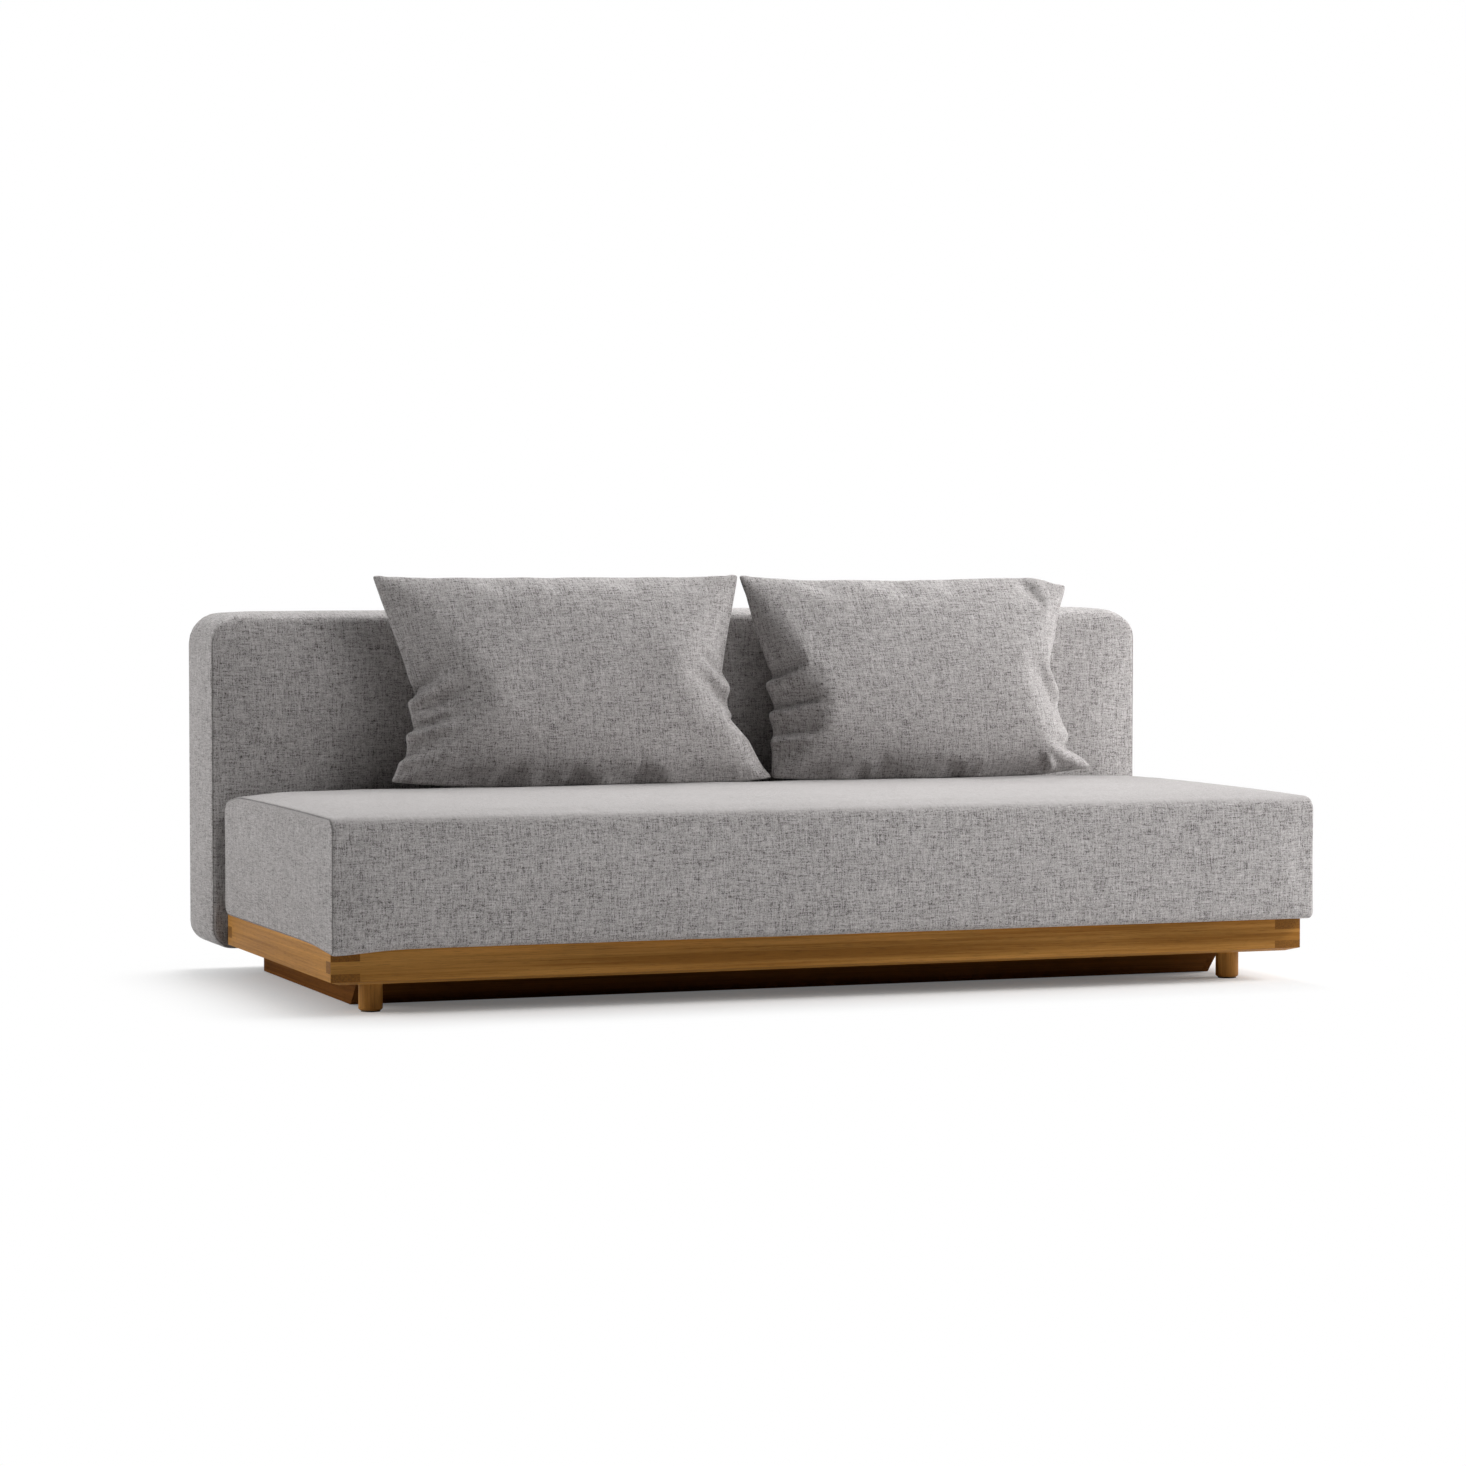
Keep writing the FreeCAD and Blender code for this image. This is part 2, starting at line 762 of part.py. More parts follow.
def make_channel(side, word):
    """Make the upright steel channel, open to the rear, that guides one carriage."""
    half, wall, deep = "channel_width / 2", "channel_wall", "channel_depth"
    channel = extruded(
        f"channel_blank_{word}",
        "XY",
        [
            (f"-{half}", "0"),
            (half, "0"),
            (half, deep),
            ("slot_half", deep),
            ("slot_half", f"{deep} - {wall}"),
            (f"{half} - {wall}", f"{deep} - {wall}"),
            (f"{half} - {wall}", wall),
            (f"{wall} - {half}", wall),
            (f"{wall} - {half}", f"{deep} - {wall}"),
            ("-slot_half", f"{deep} - {wall}"),
            ("-slot_half", deep),
            (f"-{half}", deep),
        ],
        "channel_top - channel_bottom",
        centred=False,
    )
    move(channel, f"{side} * guide_x", "channel_front", "channel_bottom")
    keep(channel, f"guide_channel_{word}")


def make_carriage(side, word):
    """Make the slider with its arm and knuckle, bored for the hinge pin."""
    body = new_body(f"carriage_blank_{word}")
    half = "(channel_width / 2 - channel_wall - slide_clearance)"
    front = "channel_front + channel_wall + slide_clearance"
    rear = "frame_rear - channel_wall - slide_clearance"
    sketch = new_sketch(body, "XY")
    draw(sketch, [(f"-{half}", front), (half, front), (half, rear), (f"-{half}", rear)])
    pad(body, sketch, "slider_above + slider_below")
    arm = new_sketch(body, "YZ")
    eye = "slider_below"
    draw(
        arm,
        [
            (rear, f"{eye} - 2 * knuckle_radius"),
            ("pin_y", f"{eye} - knuckle_radius"),
            ("pin_y", f"{eye} + knuckle_radius"),
            (rear, f"{eye} + slider_above"),
        ],
    )
    pad(body, arm, "arm_width", centred=True)
    knuckle = new_sketch(body, "YZ")
    draw_circle(knuckle, "pin_y", eye, "knuckle_radius")
    pad(body, knuckle, "arm_width", centred=True)
    bore = new_sketch(body, "YZ")
    draw_circle(bore, "pin_y", eye, "pin_radius + running_clearance")
    pocket(body, bore)
    move(body, x=f"{side} * guide_x", z="slider_bottom")
    keep(body, f"lift_carriage_{word}")


def make_hinge_leaf(side, word):
    """Make the forked leaf that is fixed on the backrest's bottom board."""
    body = new_body(f"leaf_blank_{word}")
    side_view = new_sketch(body, "YZ")
    seat = "board_top"
    tail = "pin_y + cheek_reach"
    draw(
        side_view,
        [
            ("cavity_front", seat),
            (tail, seat),
            (tail, f"{seat} + knuckle_radius"),
            ("pin_y", "pin_z + knuckle_radius"),
            ("pin_y", "pin_z - knuckle_radius"),
        ],
    )
    pad(body, side_view, "2 * cheek_half", centred=True)
    knuckle = new_sketch(body, "YZ")
    draw_circle(knuckle, "pin_y", "pin_z", "knuckle_radius")
    pad(body, knuckle, "2 * cheek_half", centred=True)
    throat = new_sketch(body, "XY")
    gap = "(arm_width / 2 + cheek_gap)"
    front, depth = "pin_y - 2 * knuckle_radius", "pin_y + cheek_throat"
    draw(throat, [(f"-{gap}", front), (gap, front), (gap, depth), (f"-{gap}", depth)])
    pocket(body, throat)
    bore = new_sketch(body, "YZ")
    draw_circle(bore, "pin_y", "pin_z", "pin_radius + press_clearance")
    pocket(body, bore)
    move(body, x=f"{side} * guide_x")
    keep(body, f"hinge_leaf_{word}")
    centre = f"{side} * guide_x"
    reach = (f"{centre} - cheek_half - press_clearance", f"{centre} + cheek_half + press_clearance")
    keep(lying(f"pin_{word}", "pin_radius", reach, "pin_y", "pin_z"), f"hinge_pin_{word}")


# Soft forms: lofts through outlines of lines and arcs


def arc_or_line(start, end, bulge, place):
    """Return an edge between two points of a plane, bulging to the right by a height."""
    chord = math.hypot(end[0] - start[0], end[1] - start[1])
    middle = [(start[axis] + end[axis]) / 2 for axis in (0, 1)]
    right = ((end[1] - start[1]) / chord, (start[0] - end[0]) / chord)
    if abs(bulge) < chord / 1e6:
        return Part.LineSegment(place(*start), place(*end)).toShape()
    top = [middle[axis] + right[axis] * bulge for axis in (0, 1)]
    return Part.Arc(place(*start), place(*top), place(*end)).toShape()


def rounded_outline(low, high, radii, bulges, place):
    """Return a closed outline of four sides and four rounded corners.

    radii go round from the corner at the low end of both axes, and bulges from the lower
    side, both counter-clockwise. place turns the two coordinates into a point in space.
    """
    u0, v0 = low
    u1, v1 = high
    r0, r1, r2, r3 = radii
    points = [
        ((u0 + r0, v0), (u1 - r1, v0)),
        ((u1, v0 + r1), (u1, v1 - r2)),
        ((u1 - r2, v1), (u0 + r3, v1)),
        ((u0, v1 - r3), (u0, v0 + r0)),
    ]
    edges = []
    for index, (start, end) in enumerate(points):
        edges.append(arc_or_line(start, end, bulges[index], place))
        corner = radii[(index + 1) % 4]
        height = corner * (1 - math.cos(math.pi / 4))
        edges.append(arc_or_line(end, points[(index + 1) % 4][0], height, place))
    return Part.Wire(edges)


def loft(label, outlines):
    """Return an object that holds the solid through a row of outlines."""
    feature = document.addObject("Part::Feature", label)
    feature.Shape = Part.makeLoft(outlines, True, True)
    return feature


def round_steps(radius):
    """Return how far in and how deep each step of a rounded edge lies."""
    angles = [share * math.pi / 2 for share in ROUND_STEP_SHARES]
    return [(radius * (1 - math.sin(angle)), radius * (1 - math.cos(angle))) for angle in angles]


def seat_outline(x, inset, crown):
    """Return the seat block's side outline at one place along the sofa."""
    front, rear = amount("seat_front") + inset, amount("seat_rear") - inset
    low, high = amount("seat_bottom") + inset, amount("seat_height") - inset
    bottom, top_rear, top_front = (
        amount(f"seat_{name}_round") for name in ("bottom", "rear", "front")
    )
    draw_in = amount("seat_side_draw")
    bulges = (0, -draw_in, crown, -draw_in)

    def place(y, z):
        return FreeCAD.Vector(x, y, z)

    return rounded_outline((front, low), (rear, high), (bottom, bottom, top_rear, top_front), bulges, place)


def make_seat():
    """Make the seat block with its board; the block is notched round the guides."""
    side = amount("seat_side")
    low_crown, full_crown = amount("seat_end_crown"), amount("seat_crown")
    row = [(side - deep, inset, low_crown) for inset, deep in round_steps(amount("seat_end_round"))]
    row += [
        (side * along, 0, low_crown + (full_crown - low_crown) * share)
        for along, share in SEAT_CROWN_SHARES
    ]
    row = [(-x, inset, crown) for x, inset, crown in row] + row[::-1]
    form = loft("seat_form", [seat_outline(*values) for values in row])
    board = block(
        "seat_board_blank",
        ("seat_board_inset - seat_side", "seat_side - seat_board_inset"),
        ("seat_front + seat_board_inset", "seat_rear - seat_board_inset"),
        ("seat_bottom", "seat_bottom + seat_board"),
    )
    keep(board, "seat_board")
    room = block(
        "seat_board_room",
        ("seat_board_inset - seat_side", "seat_side - seat_board_inset"),
        ("seat_front + seat_board_inset", "seat_rear - seat_board_inset"),
        ("seat_bottom - seat_board", "seat_bottom + seat_board"),
    )
    notches = []
    for side_sign, word in SIDES:
        centre = f"{side_sign} * guide_x"
        half = "(channel_width / 2 + slide_clearance)"
        across = (f"{centre} - {half}", f"{centre} + {half}")
        deep = ("channel_front - slide_clearance", "frame_rear + channel_depth")
        tall = ("seat_bottom - channel_depth", "channel_top + slide_clearance")
        notches.append(block(f"seat_notch_{word}", across, deep, tall))
    keep(cut("seat_cut", form, room, *notches), "seat_cushion")
    return form


def back_outline(y, inset, draw_in):
    """Return the backrest's front outline at one depth."""
    side = amount("back_side") - inset
    low, high = amount("back_bottom") + inset, amount("back_top") - inset
    bottom, top = (amount(f"back_corner_{name}") for name in ("bottom", "top"))
    bulges = (-draw_in, -draw_in, -draw_in, -draw_in)

    def place(x, z):
        return FreeCAD.Vector(-x, y, z)

    return rounded_outline((-side, low), (side, high), (bottom, bottom, top, top), bulges, place)


def make_back():
    """Make the backrest: foam block, plywood box, stiles and rear panel."""
    front, rear = amount("back_front"), amount("back_rear")
    tall = amount("back_top - back_bottom")
    edge, crown, draw_in = amount("back_edge_round"), amount("back_crown"), amount("back_side_draw")
    row = [(front + crown * share, edge + tall * inset, 0) for share, inset in BACK_CROWN_SHARES]
    row += [(front + crown + deep, inset, 0) for inset, deep in round_steps(edge)]
    row += [((front + rear) / 2, 0, draw_in)]
    row += [(rear - deep, inset, 0) for inset, deep in round_steps(edge)[::-1]]
    form = loft("back_form", [back_outline(*values) for values in row])
    deep = ("cavity_front", "panel_front")
    wide = ("-cavity_side", "cavity_side")
    hollow_run = ("cavity_front", "back_rear + foam_bottom")
    hollow = block("back_hollow", wide, hollow_run, ("cavity_bottom", "cavity_top"))
    notches = []
    for side, word in SIDES:
        centre = f"{side} * guide_x"
        half = "(cheek_half + notch_clearance)"
        across = (f"{centre} - {half}", f"{centre} + {half}")
        forward = ("back_front - foam_bottom", "cavity_front + foam_bottom")
        upward = ("back_bottom - foam_bottom", "pin_z + knuckle_radius + notch_clearance + foam_bottom")
        notches.append(block(f"back_notch_{word}", across, forward, upward))
    keep(cut("back_cut", form, hollow, *notches), "back_cushion")
    keep(block("back_board_low", wide, deep, ("cavity_bottom", "board_top")), "back_bottom_board")
    under_top = "cavity_top - back_ply"
    keep(block("back_board_high", wide, deep, (under_top, "cavity_top")), "back_top_board")
    between = ("board_top", under_top)
    for side, word in SIDES:
        near, far = f"{side} * (cavity_side - back_ply)", f"{side} * cavity_side"
        across = (near, far) if side > 0 else (far, near)
        keep(block(f"back_end_{word}", across, deep, between), f"back_end_board_{word}")
    stiles = []
    for index in (-1, 0, 1):
        centre = f"{index} * stile_x"
        across = (f"{centre} - back_ply / 2", f"{centre} + back_ply / 2")
        run = ("panel_front - stile_depth", "panel_front")
        stiles.append(block(f"stile_{index + 2}", across, run, between))
    group("back_stiles", stiles)
    rear_run = ("panel_front", "back_rear")
    keep(block("panel_blank", wide, rear_run, ("cavity_bottom", "cavity_top")), "back_panel")
    return form


# Swinging stand


def make_stand():
    """Make the stand that hangs behind the backrest: tube, two legs, feet and saddles."""
    y, z = "stand_y", "stand_pivot_height"
    reach = ("-stand_x - stand_end", "stand_x + stand_end")
    outer = lying("tube_outer", "stand_radius", reach, y, z)
    inner = lying("tube_inner", "stand_radius - stand_tube_wall", reach, y, z)
    keep(cut("tube_cut", outer, inner), "stand_tube")
    feet = []
    for side, word in SIDES:
        x = f"{side} * stand_x"
        leg = upright(f"stand_leg_blank_{word}", "stand_radius", x, y, ("foot_bottom + foot_wall", z))
        cope = lying(f"cope_{word}", "stand_radius + press_clearance", reach, y, z)
        keep(cut(f"stand_leg_cut_{word}", leg, cope), f"stand_leg_{word}")
        cap = upright(
            f"cap_{word}", "stand_radius + foot_wall", x, y, ("foot_bottom", "foot_bottom + foot_height")
        )
        bore = upright(
            f"cap_bore_{word}",
            "stand_radius + press_clearance",
            x,
            y,
            ("foot_bottom + foot_wall", "foot_bottom + 2 * foot_height"),
        )
        feet.append(cut(f"cap_cut_{word}", cap, bore))
    group("stand_feet", feet)
    for side, word in SIDES:
        centre = f"{side} * stile_x"
        across = (f"{centre} - saddle_width / 2", f"{centre} + saddle_width / 2")
        plate = block(
            f"saddle_plate_{word}",
            across,
            ("back_rear", "back_rear + saddle_wall"),
            (f"{z} - saddle_height / 2", f"{z} + saddle_height / 2"),
        )
        ring = lying(f"saddle_ring_{word}", "saddle_radius", across, y, z)
        bore = lying(f"saddle_bore_{word}", "stand_radius + running_clearance", across, y, z)
        saddle = cut(f"saddle_cut_{word}", join(f"saddle_{word}", plate, ring), bore)
        keep(saddle, f"stand_saddle_{word}")


# Pillows


def pillow_outline(width, skew, level, inset_share):
    """Return a pillow's outline at one level of its thickness, in its own frame."""
    tall, thick = amount("pillow_height"), amount("pillow_thickness")
    inset = inset_share * tall / 2
    fade = 1 - 2 * inset_share
    side_draw, edge_draw = amount("pillow_draw_side") * fade, amount("pillow_draw_edge") * fade
    bulges = (-edge_draw, -side_draw, -edge_draw, -side_draw)
    half_width, half_height = width / 2 - inset, tall / 2 - inset
    full_round = half_height * PILLOW_CORNER_SHARE
    radius = amount("pillow_corner") * (1 - inset_share) + full_round * inset_share

    def place(u, v):
        return FreeCAD.Vector(-u - skew * v / (tall / 2), level * thick / 2, v)

    low, high = (-half_width, -half_height), (half_width, half_height)
    return rounded_outline(low, high, (radius,) * 4, bulges, place)


def make_pillow(word, seat_form, back_form):
    """Make one pillow that leans on the backrest, pressed to the form of what carries it."""
    width, skew = amount(f"{word}_pillow_width"), amount(f"{word}_pillow_skew")
    levels = [(-level, inset) for level, inset in PILLOW_LEVEL_SHARES[:0:-1]] + list(PILLOW_LEVEL_SHARES)
    form = Part.makeLoft([pillow_outline(width, skew, *values) for values in levels], True, True)
    form.rotate(FreeCAD.Vector(0, 0, 0), FreeCAD.Vector(1, 0, 0), -amount("pillow_lean"))
    box = form.BoundBox
    form.translate(
        FreeCAD.Vector(
            amount(f"{word}_pillow_offset"),
            amount("back_front + pillow_back_press") - box.YMax,
            amount("seat_height + seat_crown - pillow_seat_press") - box.ZMin,
        )
    )
    feature = document.addObject("Part::Feature", f"{word}_pillow_form")
    feature.Shape = form
    under = document.addObject("Part::Feature", f"{word}_pillow_under")
    under.Shape = seat_form.Shape.translated(FreeCAD.Vector(0, 0, amount("soft_gap")))
    behind = document.addObject("Part::Feature", f"{word}_pillow_behind")
    behind.Shape = back_form.Shape.translated(FreeCAD.Vector(0, -amount("pillow_back_gap"), 0))
    keep(cut(f"{word}_pillow_cut", feature, under, behind), f"pillow_{word}")


def build():
    """Make every piece in turn."""
    fill_sheet()
    make_frame()
    make_legs()
    make_slats()
    make_tray()
    for side, word in SIDES:
        make_caster(side, word)
        make_side_guide(side, word)
        make_channel(side, word)
        make_carriage(side, word)
        make_hinge_leaf(side, word)
    seat_form = make_seat()
    back_form = make_back()
    make_stand()
    make_pillow("left", seat_form, back_form)
    make_pillow("right", seat_form, back_form)


def check():
    """Stop if an object failed to compute or a piece isn't sound."""
    for thing in document.Objects:
        if {"Invalid", "Error"} & set(thing.State):
            raise RuntimeError(f"{thing.Label} did not compute: {thing.State}")
    for piece in pieces:
        shape = piece.Shape
        if shape.isNull() or not shape.isValid() or not shape.Solids:
            raise RuntimeError(f"{piece.Label} is not a sound solid")


def write_out():
    """Write each piece to its own file."""
    os.makedirs("parts", exist_ok=True)
    for piece in pieces:
        piece.Shape.exportStep(f"parts/{piece.Label}.step")
        solids = piece.Shape.Solids
        print(f"{piece.Label}: {len(solids)} solid(s), {sum(solid.Volume for solid in solids):.0f} mm3")


build()
document.recompute()
check()
write_out()
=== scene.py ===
"""Looks of a sofa bed: upholstered seat and back blocks, loose pillows, oak frame and mechanism."""

import logging
import math
from collections.abc import Callable
from dataclasses import dataclass, field
from enum import Enum

import bmesh
import bpy
import numpy as np
from bpy import ops
from bpy.types import Material, Node, NodeSocket, Object
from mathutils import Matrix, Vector
from mathutils.bvhtree import BVHTree


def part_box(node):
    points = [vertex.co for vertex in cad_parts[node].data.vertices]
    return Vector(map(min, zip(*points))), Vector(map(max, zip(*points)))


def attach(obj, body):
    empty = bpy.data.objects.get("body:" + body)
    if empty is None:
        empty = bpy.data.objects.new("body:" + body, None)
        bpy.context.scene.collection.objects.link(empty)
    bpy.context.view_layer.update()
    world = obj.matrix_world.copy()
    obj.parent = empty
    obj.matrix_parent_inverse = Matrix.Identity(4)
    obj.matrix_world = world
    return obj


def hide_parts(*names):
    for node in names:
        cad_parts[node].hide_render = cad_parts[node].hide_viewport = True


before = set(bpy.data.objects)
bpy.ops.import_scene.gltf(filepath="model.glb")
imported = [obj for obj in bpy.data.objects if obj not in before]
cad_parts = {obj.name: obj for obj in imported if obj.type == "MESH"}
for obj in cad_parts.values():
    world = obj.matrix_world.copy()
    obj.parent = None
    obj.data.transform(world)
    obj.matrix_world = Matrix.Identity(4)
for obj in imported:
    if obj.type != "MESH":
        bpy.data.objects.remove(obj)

log = logging.getLogger("sofa_bed")

Triple = tuple[float, float, float]
Stops = tuple[tuple[float, Triple], ...]

NEAR = 1e-5  # metres within which two places count as one
TINY = 1e-9  # keeps a length that is divided by above zero


class Axis(Enum):
    """A direction of the sofa: along it, from front to back, or upright."""

    ALONG = 0
    DEPTH = 1
    UPRIGHT = 2

    @property
    def vector(self) -> Vector:
        """Return the unit vector of this direction."""
        return Vector([1.0 if index == self.value else 0.0 for index in range(3)])


class Side(Enum):
    """The left or the right end, seen from the front."""

    LEFT = -1
    RIGHT = 1

    @property
    def word(self) -> str:
        """Return the word that ends the names of this side's pieces."""
        return self.name.lower()


# Bench work: one piece at a time


def take_up(thing: Object) -> None:
    """Select one object alone and make it the active one.

    Args:
        thing: The object to work on.
    """
    ops.object.select_all(action="DESELECT")
    thing.select_set(True)
    bpy.context.view_layer.objects.active = thing


class Editing:
    """Edit mode on one piece, for a with statement."""

    def __init__(self, thing: Object) -> None:
        """Remember the piece whose mesh is edited."""
        self.thing = thing

    def __enter__(self) -> "Editing":
        """Enter edit mode with nothing selected.

        Returns:
            This bench, ready for pick.
        """
        take_up(self.thing)
        ops.object.mode_set(mode="EDIT")
        ops.mesh.select_all(action="DESELECT")
        return self

    def __exit__(self, *_: object) -> None:
        """Leave edit mode."""
        ops.object.mode_set(mode="OBJECT")

    def pick(self, kind: str, test: Callable[[object], bool]) -> None:
        """Select the vertices, edges or faces that pass a test, and nothing else.

        Args:
            kind: VERT, EDGE or FACE.
            test: Says of one element whether it is picked.
        """
        ops.mesh.select_mode(type=kind)
        ops.mesh.select_all(action="DESELECT")
        mesh = bmesh.from_edit_mesh(self.thing.data)
        elements = {"VERT": mesh.verts, "EDGE": mesh.edges, "FACE": mesh.faces}[kind]
        for element in elements:
            if test(element):
                element.select_set(True)
        bmesh.update_edit_mesh(self.thing.data)


def read_rows(elements: bpy.types.bpy_prop_collection, name: str) -> np.ndarray:
    """Read a property of three numbers off the elements of a mesh.

    Args:
        elements: The mesh's vertices or faces.
        name: The property.

    Returns:
        An array of one row per element.
    """
    flat = np.zeros(len(elements) * 3, np.float32)
    elements.foreach_get(name, flat)
    return flat.reshape(-1, 3)


def read_points(thing: Object) -> np.ndarray:
    """Return the vertices of a mesh as rows of x, y, z in metres."""
    return read_rows(thing.data.vertices, "co").astype(float)


def write_points(thing: Object, points: np.ndarray) -> None:
    """Put moved vertices, one row each, back into a mesh."""
    thing.data.vertices.foreach_set("co", points.astype(np.float32).ravel())
    thing.data.update()


def ease(value: np.ndarray, start: float, end: float) -> np.ndarray:
    """Return, for each value, a smooth step from 0 at start to 1 at end."""
    share = np.clip((value - start) / (end - start), 0, 1)
    return share * share * (3 - 2 * share)


def within(value: np.ndarray, low: float, high: float, start: float, end: float) -> np.ndarray:
    """Return 1 between low and high and 0 outside, with steps from start to end in from either."""
    return ease(value, low + start, low + end) * ease(-value, start - high, end - high)


def ripple(points: np.ndarray, seed: int, wavelength: float) -> np.ndarray:
    """Return a soft, random-looking swell from a few slanted waves, between about -1 and 1.

    Args:
        points: One row per place, in metres.
        seed: The seed of the waves' directions and phases.
        wavelength: The mean wavelength, in metres.

    Returns:
        The swell at each place.
    """
    waves = 9
    chance = np.random.default_rng(seed)
    total = np.zeros(len(points))
    for _ in range(waves):
        direction = chance.normal(size=3)
        length = wavelength * chance.uniform(0.6, 1.7)
        direction *= 2 * math.pi / length / np.linalg.norm(direction)
        total += np.sin(points @ direction + chance.uniform(0, 2 * math.pi))
    return total / math.sqrt(waves * 2)


def add_group(thing: Object, name: str, weights: np.ndarray) -> None:
    """Give a mesh a vertex group with one weight per vertex.

    Args:
        thing: A mesh object.
        name: The group's name.
        weights: The weights, from 0 to 1.
    """
    group = thing.vertex_groups.new(name=name)
    for level in np.unique(np.round(weights, 2)):
        if level > 0:
            members = np.nonzero(np.round(weights, 2) == level)[0]
            group.add(members.tolist(), float(level), "REPLACE")


def apply_modifiers(thing: Object) -> None:
    """Apply every modifier of a piece, in order.

    Args:
        thing: The piece.
    """
    take_up(thing)
    for modifier in list(thing.modifiers):
        ops.object.modifier_apply(modifier=modifier.name)


def finer(thing: Object) -> None:
    """Args:
        thing: The piece.
    """
    modifier = thing.modifiers.new("finer", "SUBSURF")
    modifier.levels = modifier.render_levels = 1
    apply_modifiers(thing)
    take_up(thing)
    ops.object.shade_smooth()


@dataclass(frozen=True)
class Stuffing:
    """How a cover is blown up by the cloth simulation; cap is how far a point may move."""

    pressure: float = 3.0
    volume: float = 0.0
    frames: int = 12
    stiffness: float = 40.0
    bending: float = 4.0
    damping: float = 5.0
    drag: float = 2.0
    cap: float = 0.004

    def fill(self, cover: Object) -> None:
        """Run the simulation on a cover and keep its result.

        The vertex group pins holds points still.

        Args:
            cover: The closed cover.
        """
        before = read_points(cover)
        modifier = cover.modifiers.new("stuffing", "CLOTH")
        cloth = modifier.settings
        cloth.quality = 6
        cloth.mass = 0.35
        cloth.tension_stiffness = cloth.compression_stiffness = self.stiffness
        cloth.shear_stiffness = self.stiffness / 3
        cloth.bending_stiffness = self.bending
        cloth.tension_damping = cloth.compression_damping = cloth.shear_damping = self.damping
        cloth.air_damping = self.drag
        cloth.effector_weights.gravity = 0
        cloth.use_pressure = True
        cloth.uniform_pressure_force = 0 if self.volume else self.pressure
        if self.volume:
            cloth.use_pressure_volume = True
            cloth.target_volume = self.volume
            cloth.pressure_factor = self.pressure
        if "pins" in cover.vertex_groups:
            cloth.vertex_group_mass = "pins"
        modifier.collision_settings.use_collision = False
        modifier.point_cache.frame_start = 1
        modifier.point_cache.frame_end = self.frames
        for number in range(1, self.frames + 1):
            bpy.context.scene.frame_set(number)
        apply_modifiers(cover)
        bpy.context.scene.frame_set(1)
        moved = read_points(cover) - before
        length = np.linalg.norm(moved, axis=1, keepdims=True)
        write_points(cover, before + moved * np.minimum(1, self.cap / np.maximum(length, TINY)))


# Finishes


